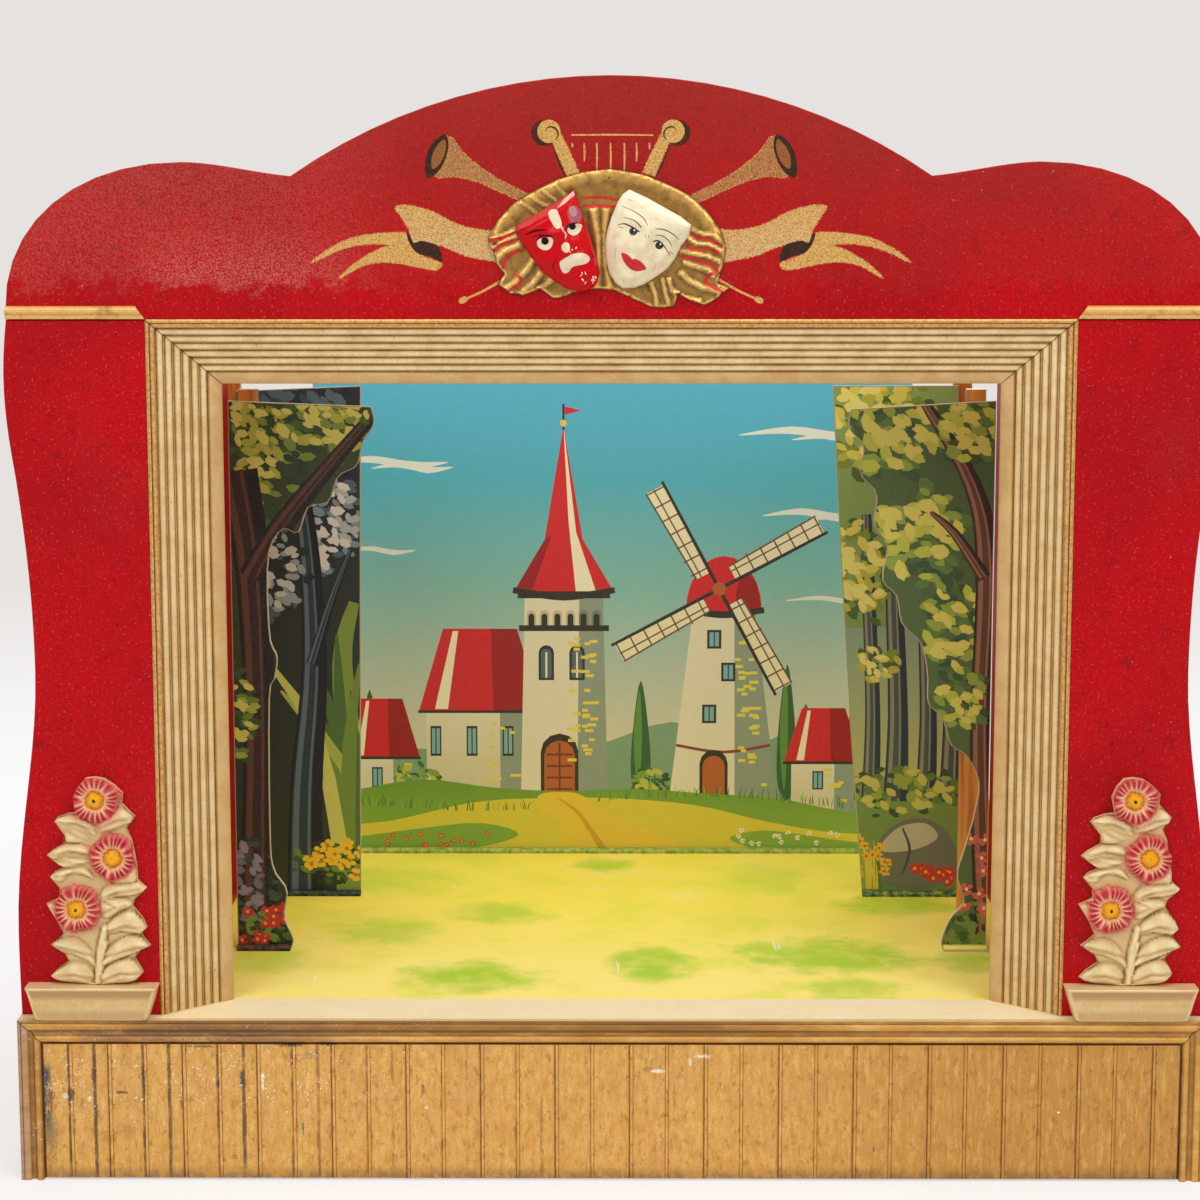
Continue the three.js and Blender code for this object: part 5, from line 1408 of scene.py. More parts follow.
plaque = {"edge": 2.2, "rim": 1.5, "gold": "b48538", "shade": "5e4016", "light": "ecc470",
          "stripe": "ca2a1c", "brush": 1.25}
plaqueLine = [
    (-0.5, 685.4), (-18, 683.4), (-34.8, 678.6), (-49.7, 671.3), (-60, 665.8), (-66.9, 660.2),
    (-75.5, 650.5), (-80.7, 640.7), (-80.6, 636.6), (-77.2, 630.5), (-75.5, 623), (-70.4, 616.9),
    (-74.9, 610.1), (-65.8, 603.3), (-57.8, 602.2), (-46.3, 606.7), (-38.3, 600.5), (-31, 601.4),
    (-24.5, 604.4), (-16, 606.4), (-8.5, 606.7), (3, 605.6), (12, 601.6), (20.2, 597.6), (26, 595),
    (32.8, 594.2), (42.5, 595.4), (44.2, 603.3), (53, 598.6), (61.4, 595.9), (69, 599.8), (78.6, 607.8),
    (70.6, 610.7), (72.6, 618), (74.6, 626), (75.6, 632), (74.6, 637.3), (72.4, 644.6), (68.3, 650.9),
    (60.4, 660.6), (51.1, 668.4), (33.9, 676.9), (22, 681.4), (11, 683.7)]
folds = [
    # each fold's line, half width and height
    ([(-12, 658), (-8.4, 640), (-8.2, 622), (-10, 608)], 2.6, 2.2),
    ([(-3, 658), (-4.6, 640), (-3.6, 622), (-1, 610)], 2.2, 1.7),
    ([(-80, 639.5), (-71.6, 641.8), (-63.2, 645.4)], 1.6, 1.7),
    ([(-79, 633.6), (-72, 637.6), (-62.6, 641.6)], 1.5, 1.6),
    ([(-76, 625.4), (-70.6, 631.4), (-60, 636)], 2.0, 2.0),
    ([(-71, 606), (-63, 611), (-55, 620), (-50, 627)], 2.0, 1.7),
    ([(-60, 603), (-53, 609), (-46, 617)], 1.8, 1.4),
    ([(-47, 607), (-41, 611), (-36, 615)], 1.6, 1.2),
    ([(53, 645.6), (60, 643), (68, 641.8), (73.4, 637.6)], 1.5, 1.7),
    ([(50, 640.6), (56, 636.6), (64, 636.2), (72.8, 631.6)], 1.5, 1.7),
    ([(46, 632), (54, 630), (63, 628.6), (71, 625)], 1.6, 1.8),
    ([(49, 624), (58, 621), (64, 619), (67, 616)], 1.7, 1.7),
    ([(46, 617), (52, 612), (60, 608), (72, 605)], 1.8, 1.8),
    ([(38, 613), (40, 606), (46, 602), (58, 599)], 1.6, 1.5),
    ([(26, 611), (29, 604), (30, 598)], 1.5, 1.4),
    ([(34, 613), (36, 604), (38, 597)], 1.4, 1.2),
    ([(-60, 664), (-53, 660), (-49, 656)], 1.3, 1.0),
    ([(-53, 668), (-47, 663.6), (-42, 661)], 1.3, 1.1),
    ([(-45, 672), (-40, 667.6), (-36, 665)], 1.2, 1.0),
    ([(-37, 676), (-33, 671), (-30, 668)], 1.3, 0.9),
]


def plaqueHeight(x, z):
    p = plaque
    inset = nearLine(plaqueLine + plaqueLine[:1], x, z)
    height = p["edge"] * min(1.0, (0.25 + inset / 1.2))
    if z > 640 - 0.05 * abs(x):
        height += p["rim"] * math.exp(-((inset - 4.2) / 3.4) ** 2)
    low = 1.0 if z < 645 or abs(x) < 14 else 0.8
    crest = max(ridge(line, wide, tall, x, z) for line, wide, tall in folds)
    return (height + crest * low * min(1.0, inset / 1.0)
            + 0.1 * math.sin(x * 0.5 + z * 0.2) * math.sin(z * 0.45 - x * 0.2))


plaqueCurve = curveOf(plaqueHeight, 0.8)


def plaquePaint(x, z):
    p = plaque
    rise, curve = plaqueCurve(x, z)
    curve *= 5.0
    # the gold is lightened on the folds' ridges as painted highlight, and darkened in the hollows and along
    # the low edge as painted shade
    colour = mixed(tint(p["gold"]), tint(p["light"]), curve * 1.6)
    return mixed(colour, tint(p["shade"]), -curve * 2.2 + (0.3 if rise < p["edge"] + 0.35 else 0.0))


def plaqueShapes():
    # patches a few millimetres across would show as facets, so the gold is laid on as one function
    p = plaque
    lines = [
        ([(-19.3, 665.9), (-8.1, 666.7), (4.4, 665)], [1, 2, 1.5]),
        ([(-18.9, 660.9), (-8.1, 660.9), (2.8, 660.5)], [1.2, 2.1, 1.6]),
        ([(-80.2, 638.4), (-71.6, 640.1), (-63.2, 643.9)], [2.4, 2, 1.3]),
        ([(-78.4, 630.2), (-72.4, 635.3), (-62.4, 639)], [1.2, 2.3, 1.3]),
        ([(-71, 619.9), (-70, 624.9), (-65, 629.9), (-57.4, 632.8)], [1.4, 2.2, 2.3, 1.2]),
        ([(-64.2, 617.5), (-58.8, 613.3), (-60.9, 609.5), (-67.6, 605.8)], [0.8, 1.8, 2.2, 1]),
        ([(51.7, 643.2), (56.3, 640.8), (62.1, 639.5), (67.1, 638.3), (73.4, 634.3)],
         [1.4, 1.8, 1.5, 1.9, 1.2]),
        ([(48.8, 637.9), (52.1, 633.7), (58, 632.5), (64.7, 633.3), (71.2, 629.4)],
         [1.3, 2.1, 1.6, 2, 1.2]),
        ([(43.8, 628.7), (53.8, 626.7), (62.2, 624.2), (68.1, 622.1), (68.9, 618.4), (63.9, 615.5),
          (62.3, 611.7), (66.5, 608.4), (74, 604.9)], [1.2, 2, 1.9, 1.9, 2, 1.9, 1.8, 2, 1])]
    shapes = [(plaqueLine, plaquePaint)]
    shapes += [(stroke(points, [w * p["brush"] for w in widths], 4), p["stripe"]) for points, widths in lines]
    shapes.append((oval(-1.2, 679.3, 0.7, 0.7, 8), "2b1d10"))
    return shapes


def paintedRelief(name, roughness, metallic, coat=0.0, chips=0.0, dirt="5a4420", grime=0.25, bloom=0.12,
                  gloss=0.3):
    # brushed paint on moulded plaster, with mottled grime and small chips over the ink, which carries the
    # painted light and shade of the high and low places
    look = Look(name, roughness=roughness, metallic=metallic, specular=gloss)
    if coat:
        look.give("Coat Weight", coat)
        look.give("Coat Roughness", 0.12)
    ink = look.attribute("ink", "Color")
    mottle = look.noise(6, 6, 0.65)
    fine = look.noise(1, 3, 0.6)
    colour = mottle.ease(0.42, 0.7, 0, grime).blend(ink, dirt, "MULTIPLY")
    colour = fine.ease(0.45, 0.7, 0, bloom).blend(colour, "fff6dc")
    if chips:
        chip = look.noise(4.5, 4, 0.7).ease(0.71, 0.73, 0, chips)
        colour = chip.blend(colour, "ded3bd")
    look.give("Base Color", colour)
    look.give("Roughness", mottle.ease(0.3, 0.7, roughness * 0.8, roughness * 1.4))
    look.relief(mottle + fine * 0.4, 0.25, 0.45)
    return look.material


plaqueLeaf = paintedRelief("plaqueLeaf", 0.36, 0.55, dirt="7a5a2a", grime=0.5, bloom=0.04, gloss=0.5)
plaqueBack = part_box("mask_plaque")[1].y
goldPlaque = printedSheet("mask_plaque_relief", plaqueLine, plaqueShapes(), plaqueBack, 0, "crest",
                          "plaque_gold", plaqueLeaf, plaque["shade"], spacing=1.5, height=plaqueHeight)
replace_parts(goldPlaque, "mask_plaque")


masks = {
    "tragedy": {"middle": (-33.5, 638), "turn": 24, "dome": 7.5, "edge": 4.0, "paint": "ca0410",
                "pale": "e0d0b0", "dark": "6d060e", "bare": "b08d8d"},
    "comedy": {"middle": (23.5, 639), "turn": -27, "dome": 7.0, "edge": 4.0, "paint": "e2d4ae",
               "pale": "f2e8ca", "dark": "3a2b22", "lip": "c3161c", "blush": "eab9b0"}}
tragedyLine = [
    (-23.8, 671.6), (-32.9, 665.4), (-41.3, 660.4), (-52.1, 654.2), (-62.5, 647.8), (-60.5, 640.8),
    (-56.3, 634.2), (-52.2, 627.6), (-45.6, 619.3), (-37.3, 612.2), (-28.9, 607.3), (-20.6, 605.2),
    (-13.9, 606.4), (-8.9, 611), (-7.2, 617.6), (-8.9, 625.2), (-11.4, 634.2), (-15.5, 645.9),
    (-19.3, 657.2), (-21.7, 665.9)]
comedyLine = [
    (12, 671.7), (23.6, 666.4), (36.9, 659), (46, 654), (52.7, 648.7), (51.1, 641.7), (46.1, 635.1),
    (42, 626.8), (37, 620.2), (28.7, 614.4), (22, 610.3), (15.4, 607.8), (7.8, 607.4), (2.8, 611.1),
    (-1.3, 617.7), (-3.4, 627.7), (-3.8, 637.6), (-2.2, 645.8), (0.3, 654.1), (4.5, 663.9), (7.8, 668.9)]


def bump(x, z, cx, cz, across, up, tall, turn):
    c, s = math.cos(turn), math.sin(turn)
    a, b = (x - cx) * c + (z - cz) * s, -(x - cx) * s + (z - cz) * c
    return tall * math.exp(-(a / across) ** 2 - (b / up) ** 2)


def maskHeight(word, line, details):
    m = masks[word]
    turn = math.radians(m["turn"])
    ring = line + line[:1]

    def height(x, z):
        c, s = math.cos(turn), math.sin(turn)
        dx, dz = x - m["middle"][0], z - m["middle"][1]
        across, up = dx * c + dz * s, -dx * s + dz * c
        inset = nearLine(ring, x, z)
        swell = max(0.0, 1 - (across / 27) ** 2) * max(0.0, 1 - (up / 48) ** 2)
        rise = m["edge"] * min(1.0, 0.55 + inset / 1.6) + m["dome"] * swell * min(1.0, inset / 9 + 0.25)
        for detail in details:
            rise += bump(x, z, *detail)
        return rise
    return height


tragedyDetails = [
    (-33, 644.6, 15, 3.4, 1.6, math.radians(28)), (-28.6, 636, 3.2, 9, 2.6, math.radians(26)),
    (-29.6, 631.4, 4.4, 3.4, 1.6, 0), (-42.2, 637.6, 5, 3.8, -1.6, 0.4), (-23.6, 646, 4.6, 3.6, -1.6, 0.4),
    (-23.6, 625.4, 8.6, 3.4, 1.5, 0.5), (-16.6, 613, 6.4, 5, 1.5, 0.5), (-45, 627, 6, 6, 0.9, 0)]
comedyDetails = [
    (23.4, 640, 3, 8.4, 2.4, -0.45), (20.4, 633.6, 4.4, 3.2, 1.7, 0), (14.6, 644.6, 5.2, 3.6, -1.3, -0.5),
    (31.8, 635.4, 5.2, 3.6, -1.3, -0.5), (8, 634, 6.2, 6.2, 1, 0), (31, 624.4, 6.2, 6.2, 1, 0),
    (14.8, 624.8, 8.2, 3, 1.3, -0.5), (11.6, 613.6, 6, 4.6, 1.3, -0.4), (20.4, 649.6, 13, 3.2, 0.9, -0.5)]


def tragedyShapes():
    m = masks["tragedy"]
    shade = fade(606, 668, "c0040e", m["paint"])
    shapes = [
        (tragedyLine, shade),
        # a paler band along the top edge and a pale mark in it: painted highlights on the gloss
        ([(-62.3, 647.5), (-52.1, 653.9), (-41.3, 660.1), (-32.9, 665.1), (-24, 671.2), (-23.2, 667.6),
          (-33.6, 659.8), (-42.4, 654.6), (-53.4, 648.6), (-61.2, 644.4)], "c83e3a"),
        ([(-30.6, 665.6), (-24.4, 670.8), (-23.6, 668.2), (-30, 662.6), (-35.2, 659.6)], "dcb8aa"),
        (oval(-23.6, 655.4, 4.6, 6.2, 14, 0.3), "a8555a"),
        (oval(-24.6, 657.6, 2.4, 3.6, 10, 0.3), "b4888a"),
        # a paler red strip down the right edge: painted highlight on the lit side
        ([(-17.2, 655), (-13.8, 645), (-10.4, 634), (-8.6, 622), (-10.6, 622.6), (-13.4, 636),
          (-16.6, 647)], "c4343a"),
        (smoothLoop([(-40.9, 656), (-39.2, 658.5), (-35.9, 658.9), (-34.2, 656.4), (-32.2, 650.7),
                     (-32.6, 647.4), (-35.5, 646.5), (-38.8, 650.7)], 3), m["pale"]),
        (stroke([(-32.4, 647.8), (-30.4, 644.6), (-29.2, 642.4), (-29.8, 640)], [1.5, 0.8, 1.2, 0.3]),
         "cfb9aa"),
        (smoothLoop([(-48.2, 638), (-47.4, 634.6), (-43.4, 632.4), (-39.4, 633.8), (-37.6, 638.6),
                     (-39.4, 640.8), (-43.2, 640.2), (-46.6, 639.8)], 3), m["pale"]),
        (oval(-43.0, 638.4, 2.5, 2.5, 14), "17100e"),
        (stroke([(-48.4, 638.6), (-45.2, 641.8), (-37.8, 641.6)], [0.8, 1.3, 0.8]), "17100e"),
        (smoothLoop([(-28.4, 645.7), (-27.2, 643.2), (-23.9, 642), (-20.5, 644.1), (-18.8, 648.2),
                     (-20.1, 649.4), (-23, 649.5), (-26.3, 647.8)], 3), m["pale"]),
        (oval(-25.0, 647.8, 2.2, 2.2, 14), "17100e"),
        (stroke([(-30.5, 645.1), (-27.8, 648.8), (-21.8, 650.1)], [0.8, 1.4, 0.8]), "17100e"),
        (stroke([(-56.3, 642), (-49.6, 645), (-42.2, 645.5)], [0.6, 1.5, 0.7]), "240a0a"),
        (stroke([(-51.3, 640.7), (-44.7, 643)], [0.7, 0.7]), m["dark"]),
        (smoothLoop([(-32.2, 635), (-30.1, 637.5), (-27.2, 636.6), (-26.8, 632.5), (-28.9, 630.9),
                     (-31.4, 632.1)], 3), m["pale"]),
        (smoothLoop([(-33.5, 623.4), (-32.2, 625.9), (-24.7, 630), (-18.9, 630.7), (-14.7, 628.8),
                     (-13.9, 625.9), (-17.2, 623.4), (-24.7, 621.8), (-28.1, 618), (-31.4, 618)], 3),
         m["pale"]), (stroke([(-35.6, 627), (-37.8, 622), (-36.4, 617.6)], [0.5, 1.1, 0.5]), m["dark"]),
        (stroke([(-13.4, 632.6), (-11.4, 627.4)], [0.5, 0.9]), m["dark"])]
    rng = random.Random(3)
    for x, z in [(-18.1, 617.6), (-17.2, 612.6), (-13.1, 611.8), (-10.6, 613.5), (-25.5, 630.4),
                 (-23.9, 632.5)]:
        for _ in range(3):
            shapes.append((dab(x + rng.uniform(-1.5, 1.5), z + rng.uniform(-1.5, 1.5),
                               rng.uniform(1.2, 2.6), rng.uniform(0.5, 1.0), rng.uniform(0, 3)), "ecd3c6"))
    return shapes


def comedyShapes():
    m = masks["comedy"]

    def skin(x, z):
        left = min(max((-x + 8) / 12, 0), 1)
        colour = mixed(tint(m["paint"]), tint("dcb8a0"), left * 0.6)
        colour = mixed(colour, tint("eee2c2"), (z - 640) / 30)
        for cx, cz in ((7.5, 633.5), (30.5, 623.5)):
            near = math.exp(-((x - cx) ** 2 + (z - cz) ** 2) / 30)
            colour = mixed(colour, tint(m["blush"]), near * 0.35)
        return colour

    line = m["dark"]
    return [
        (comedyLine, skin),
        ([(12.2, 671.3), (23.6, 666), (36.9, 658.6), (46, 653.6), (52.2, 648.7), (51.6, 645.8),
          (44.6, 649.4), (35.4, 654.2), (22.4, 660.8), (9.6, 666.2), (8.4, 668.6)], m["pale"]),
        (stroke([(6.6, 661.1), (15.3, 657.4), (21.1, 653.2), (24, 648.3)], [0.25, 0.6, 0.7, 0.4]),
         "6e4a3a"), (stroke([(8.2, 653.7), (15.3, 651.6), (19.9, 647.1)], [0.3, 0.6, 0.8]), line),
        (stroke([(4.5, 648.7), (8.7, 649.5), (13.6, 647.5), (18.6, 644.2)], [0.4, 0.8, 1.1, 0.9]),
         "1d1512"), (stroke([(4.7, 647.6), (8.2, 646.8)], [0.3, 0.5]), line),
        (oval(14.6, 644.6, 2.7, 2.6, 14), "1d1512"), (oval(15.3, 645.4, 0.6, 0.6, 8), "f4efe4"),
        (stroke([(29, 646.2), (34.4, 645.8), (40.3, 642.9), (44.4, 639.2)], [0.5, 0.8, 0.7, 0.3]), line),
        (stroke([(29, 642.1), (33.6, 641.7), (37.8, 638.4), (39.9, 634.7)], [0.3, 0.6, 0.6, 0.3]), line),
        (stroke([(27.4, 638), (31.1, 638.4), (35.3, 634.3), (38.6, 628.9)], [0.9, 1.1, 0.7, 0.4]),
         "1d1512"), (stroke([(38.2, 631.4), (41.1, 629.7)], [0.5, 0.3]), line),
        (oval(31.6, 635.5, 2.7, 2.6, 14), "1d1512"), (oval(32.3, 636.3, 0.6, 0.6, 8), "f4efe4"),
        (stroke([(22.4, 642.6), (23, 640.6)], [0.3, 0.5]), "6e4a3a"),
        (stroke([(24.4, 642.4), (24.6, 640.6)], [0.3, 0.5]), "6e4a3a"),
        (smoothLoop([(6.6, 630.1), (8.7, 630.6), (12, 628.9), (14.1, 626.6), (15.8, 627), (19.5, 625.2),
                     (22, 622.7), (23, 620.2), (20.3, 619.2), (16.2, 618.8), (12, 620.8), (8.7, 624.6)], 3),
         m["lip"]), (stroke([(7.4, 629.6), (13, 625), (22.4, 620.6)], [0.2, 0.5, 0.2]), "8d0f14"),
        (stroke([(3.7, 633.9), (2.4, 630.6), (3, 627.3)], [0.2, 0.5, 0.2]), "b89a7c"),
        (stroke([(28.8, 623.5), (28.5, 620.6), (26.8, 618.4)], [0.2, 0.5, 0.2]), "b89a7c"),
        (stroke([(7, 613.8), (8.8, 611.9)], [0.3, 0.5]), "b89a7c")]


maskGloss = paintedRelief("maskGloss", 0.2, 0.0, coat=0.07, chips=0.0, dirt="b08c80", grime=0.2, bloom=0.0,
                          gloss=0.1)
maskEggshell = paintedRelief("maskEggshell", 0.36, 0.0, coat=0.0, chips=0.0, dirt="c9b48c", grime=0.3,
                             bloom=0.04)
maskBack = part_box("mask_plaque")[0].y
for word, line, shapes, details, material, slot in [
        ("tragedy", tragedyLine, tragedyShapes(), tragedyDetails, maskGloss, "mask_red"),
        ("comedy", comedyLine, comedyShapes(), comedyDetails, maskEggshell, "mask_cream")]:
    mask = printedSheet("mask_" + word + "_face", line, shapes, maskBack, 0, "crest", slot, material,
                        masks[word]["paint"], spacing=1.15, height=maskHeight(word, line, details))
    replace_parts(mask, "mask_" + word)
print("plaque and masks")


# The plaster flower stalks: one casting used twice, brushed and sprayed pink, in their two planters

stalk = {
    "left": -348.5, "step": 700.5, "foot": 136.3, "half": 35, "tall": 144.6, "back": -0.3, "base": 2.6,
    "leaf": 5.6, "fold": 1.7, "wave": 0.55, "radius": 15.6, "heart": 5.4, "petals": 21, "ripple": 1.0,
    "plaster": "d4b680", "glazeAndShade": "86602e", "light": "ecd8a8", "rose": "b4102e", "petal": "e49078",
    "cream": "f0bf98", "pink": "d05a58", "yellow": "eaa60c", "orange": "cc7406"}
stalkShares = [
    (-0.96, 0.034), (-0.82, 0.068), (-0.6, 0.106), (-0.66, 0.14), (-0.94, 0.186), (-0.8, 0.211),
    (-0.68, 0.24), (-0.79, 0.299), (-1, 0.383), (-0.85, 0.4), (-0.73, 0.416), (-0.74, 0.458),
    (-0.92, 0.512), (-0.83, 0.537), (-0.63, 0.557), (-0.73, 0.575), (-0.97, 0.616), (-0.85, 0.641),
    (-0.6, 0.675), (-0.6, 0.716), (-0.81, 0.778), (-0.74, 0.799), (-0.54, 0.816), (-0.35, 0.823),
    (-0.41, 0.899), (-0.32, 0.948), (-0.18, 0.986), (0, 0.991), (0.18, 0.983), (0.37, 0.953), (0.53, 0.915),
    (0.51, 0.866), (0.63, 0.833), (0.76, 0.801), (0.69, 0.775), (0.59, 0.746), (0.68, 0.692), (0.74, 0.617),
    (0.77, 0.567), (0.78, 0.5), (0.86, 0.479), (0.95, 0.461), (0.87, 0.438), (0.72, 0.408), (0.67, 0.375),
    (0.78, 0.341), (0.88, 0.308), (0.94, 0.269), (0.83, 0.245), (0.87, 0.22), (1, 0.182), (0.83, 0.165),
    (0.69, 0.123), (0.79, 0.081), (0.85, 0.052), (0.71, 0.018), (0.54, 0.001), (-0.06, 0), (-0.6, 0.002),
    (-0.83, 0.012)]
leafShares = [
    [(-0.81, 0.778), (-0.7, 0.801), (-0.47, 0.816), (-0.24, 0.808), (0.02, 0.758), (0, 0.708),
     (-0.25, 0.733), (-0.44, 0.751), (-0.61, 0.754)],
    [(-0.61, 0.741), (-0.41, 0.748), (-0.18, 0.721), (-0.08, 0.691), (-0.29, 0.671), (-0.58, 0.681)],
    [(-0.86, 0.591), (-0.63, 0.608), (-0.33, 0.612), (-0.11, 0.6), (-0.23, 0.567), (-0.6, 0.554),
     (-0.76, 0.566)],
    [(-0.97, 0.616), (-0.82, 0.65), (-0.58, 0.675), (-0.32, 0.679), (-0.12, 0.658), (-0.08, 0.617),
     (-0.36, 0.62), (-0.63, 0.612), (-0.83, 0.598)],
    [(-0.92, 0.512), (-0.77, 0.541), (-0.53, 0.562), (-0.26, 0.567), (-0.1, 0.542), (-0.02, 0.496),
     (-0.27, 0.521), (-0.5, 0.523), (-0.67, 0.491), (-0.84, 0.493)],
    [(-1, 0.383), (-0.82, 0.394), (-0.61, 0.408), (-0.42, 0.358), (-0.6, 0.282), (-0.73, 0.278),
     (-0.87, 0.324)],
    [(-0.94, 0.186), (-0.77, 0.214), (-0.5, 0.228), (-0.27, 0.203), (-0.08, 0.14), (-0.01, 0.064),
     (-0.21, 0.102), (-0.48, 0.138), (-0.71, 0.155)],
    [(-0.96, 0.034), (-0.72, 0.081), (-0.48, 0.11), (-0.22, 0.093), (-0.07, 0.039), (-0.16, 0.002),
     (-0.46, 0.003), (-0.76, 0.012)],
    [(0.76, 0.8), (0.63, 0.833), (0.43, 0.845), (0.2, 0.82), (0.02, 0.775), (0.07, 0.729), (0.32, 0.737),
     (0.55, 0.762), (0.69, 0.775)],
    [(0.77, 0.567), (0.78, 0.5), (0.63, 0.479), (0.33, 0.483), (0.2, 0.525), (0.5, 0.567)],
    [(0.07, 0.404), (0.32, 0.417), (0.59, 0.412), (0.68, 0.379), (0.45, 0.354), (0.21, 0.316),
     (0.06, 0.333)],
    [(0.95, 0.461), (0.73, 0.496), (0.46, 0.492), (0.19, 0.475), (0.05, 0.433), (0.1, 0.396), (0.39, 0.421),
     (0.65, 0.425), (0.86, 0.442)],
    [(0.94, 0.269), (0.78, 0.333), (0.58, 0.354), (0.31, 0.32), (0.09, 0.266), (0.15, 0.241), (0.44, 0.253),
     (0.7, 0.245), (0.84, 0.245)],
    [(1, 0.182), (0.83, 0.224), (0.57, 0.232), (0.3, 0.199), (0.09, 0.14), (0.01, 0.081), (0.25, 0.102),
     (0.56, 0.136), (0.83, 0.165)],
    [(0.85, 0.052), (0.72, 0.106), (0.49, 0.123), (0.22, 0.098), (0, 0.043), (0.06, 0.003), (0.41, 0.002),
     (0.7, 0.016)]]
flowerShares = [(0.01, 0.886, 1.04), (0.33, 0.61, 1), (-0.4, 0.364, 1.02)]
stemShares = [[(-0.02, 0.01), (0, 0.08), (0.04, 0.17), (0.14, 0.27)],
              [(0.02, 0.05), (0.06, 0.14), (0.12, 0.2)]]


def onStalk(share):
    return stalk["left"] + share[0] * stalk["half"], stalk["foot"] + share[1] * stalk["tall"]


stalkLine = [onStalk(p) for p in stalkShares]
leafLines = [smoothLoop([onStalk(p) for p in leaf], 3) for leaf in leafShares]
leafBoxes = [(min((p[0] for p in line)), min((p[1] for p in line)), max((p[0] for p in line)),
              max((p[1] for p in line))) for line in leafLines]
leafRibs = []
for leaf in leafShares:
    middle = (sum(p[0] for p in leaf) / len(leaf), sum(p[1] for p in leaf) / len(leaf))
    root = (0.04 if leaf[0][0] < 0 else 0.08, middle[1] - 0.035)
    leafRibs.append([onStalk(leaf[0]), onStalk(middle), onStalk((root[0], root[1]))])
stemLines = [[onStalk(p) for p in stem] for stem in stemShares]
flowerPlaces = [(*onStalk(f), f[2] * stalk["radius"]) for f in flowerShares]


def petalPhase(angle, flower):
    return (angle * stalk["petals"] / (2 * math.pi) + 0.3 * math.sin(3 * angle + flower)
            + 0.2 * math.sin(5 * angle))


def flowerAt(number, x, z):
    # how far out a place lies in a flower whose rim is wavy, its angle, and where it lies in its petal
    cx, cz, radius = flowerPlaces[number]
    angle = math.atan2(z - cz, x - cx)
    phase = petalPhase(angle, 1.7 * number)
    lobe = math.cos(2 * math.pi * phase)
    wavy = 1 + 0.035 * math.sin(4 * angle + 2 * number) + 0.03 * math.sin(7 * angle + number) + 0.02 * lobe
    return math.hypot(x - cx, z - cz) / (radius * wavy), phase, lobe


def stalkHeight(x, z):
    p = stalk
    rise = p["base"] + 1.6 * (1 - math.exp(-nearLine(stalkLine + stalkLine[:1], x, z) / 2.0))
    for order, (line, rib) in enumerate(zip(leafLines, leafRibs)):
        left, low, right, high = leafBoxes[order]
        if left < x < right and low < z < high and insideLoop(line, x, z):
            inset = nearLine(line + line[:1], x, z)
            away = nearLine(rib, x, z)
            lift = p["base"] + 0.15 * order + p["leaf"] * (1 - math.exp(-inset / 2.8))
            lift -= p["fold"] * math.exp(-(away / 1.7) ** 2) * min(1.0, inset / 2)
            lift += p["wave"] * math.sin(x * 0.34 + z * 0.21 + order * 1.9) * min(1.0, inset / 3)
            rise = max(rise, lift)
    for stem in stemLines:
        rise = max(rise, p["base"] + 5.6 - 0.5 * nearLine(stem, x, z) ** 2)
    for number, (cx, cz, radius) in enumerate(flowerPlaces):
        if math.hypot(x - cx, z - cz) > radius * 1.15:
            continue
        share, _, lobe = flowerAt(number, x, z)
        if share < 1:
            fall = min(1.0, (1 - share) * radius / 1.6)
            lift = 7.4 + 2.3 * math.sin(math.pi * min(1, max(0, (share - 0.3) / 0.7)) * 0.8)
            lift += p["ripple"] * lobe * min(1, max(0, (share - 0.36) * 4)) * fall
            reach = share * radius
            lift -= 1.5 * math.exp(-((reach - p["heart"] - 0.6) / 1.0) ** 2)
            if reach < p["heart"]:
                lift = (8.0 + 2.9 * math.sqrt(1 - (reach / p["heart"]) ** 2)
                        - 1.3 * math.exp(-(reach / 0.8) ** 2))
            rise = max(rise, p["base"] + (lift - p["base"]) * fall)
    return min(rise, 12.0)


stalkCurve = curveOf(stalkHeight, 1.2)


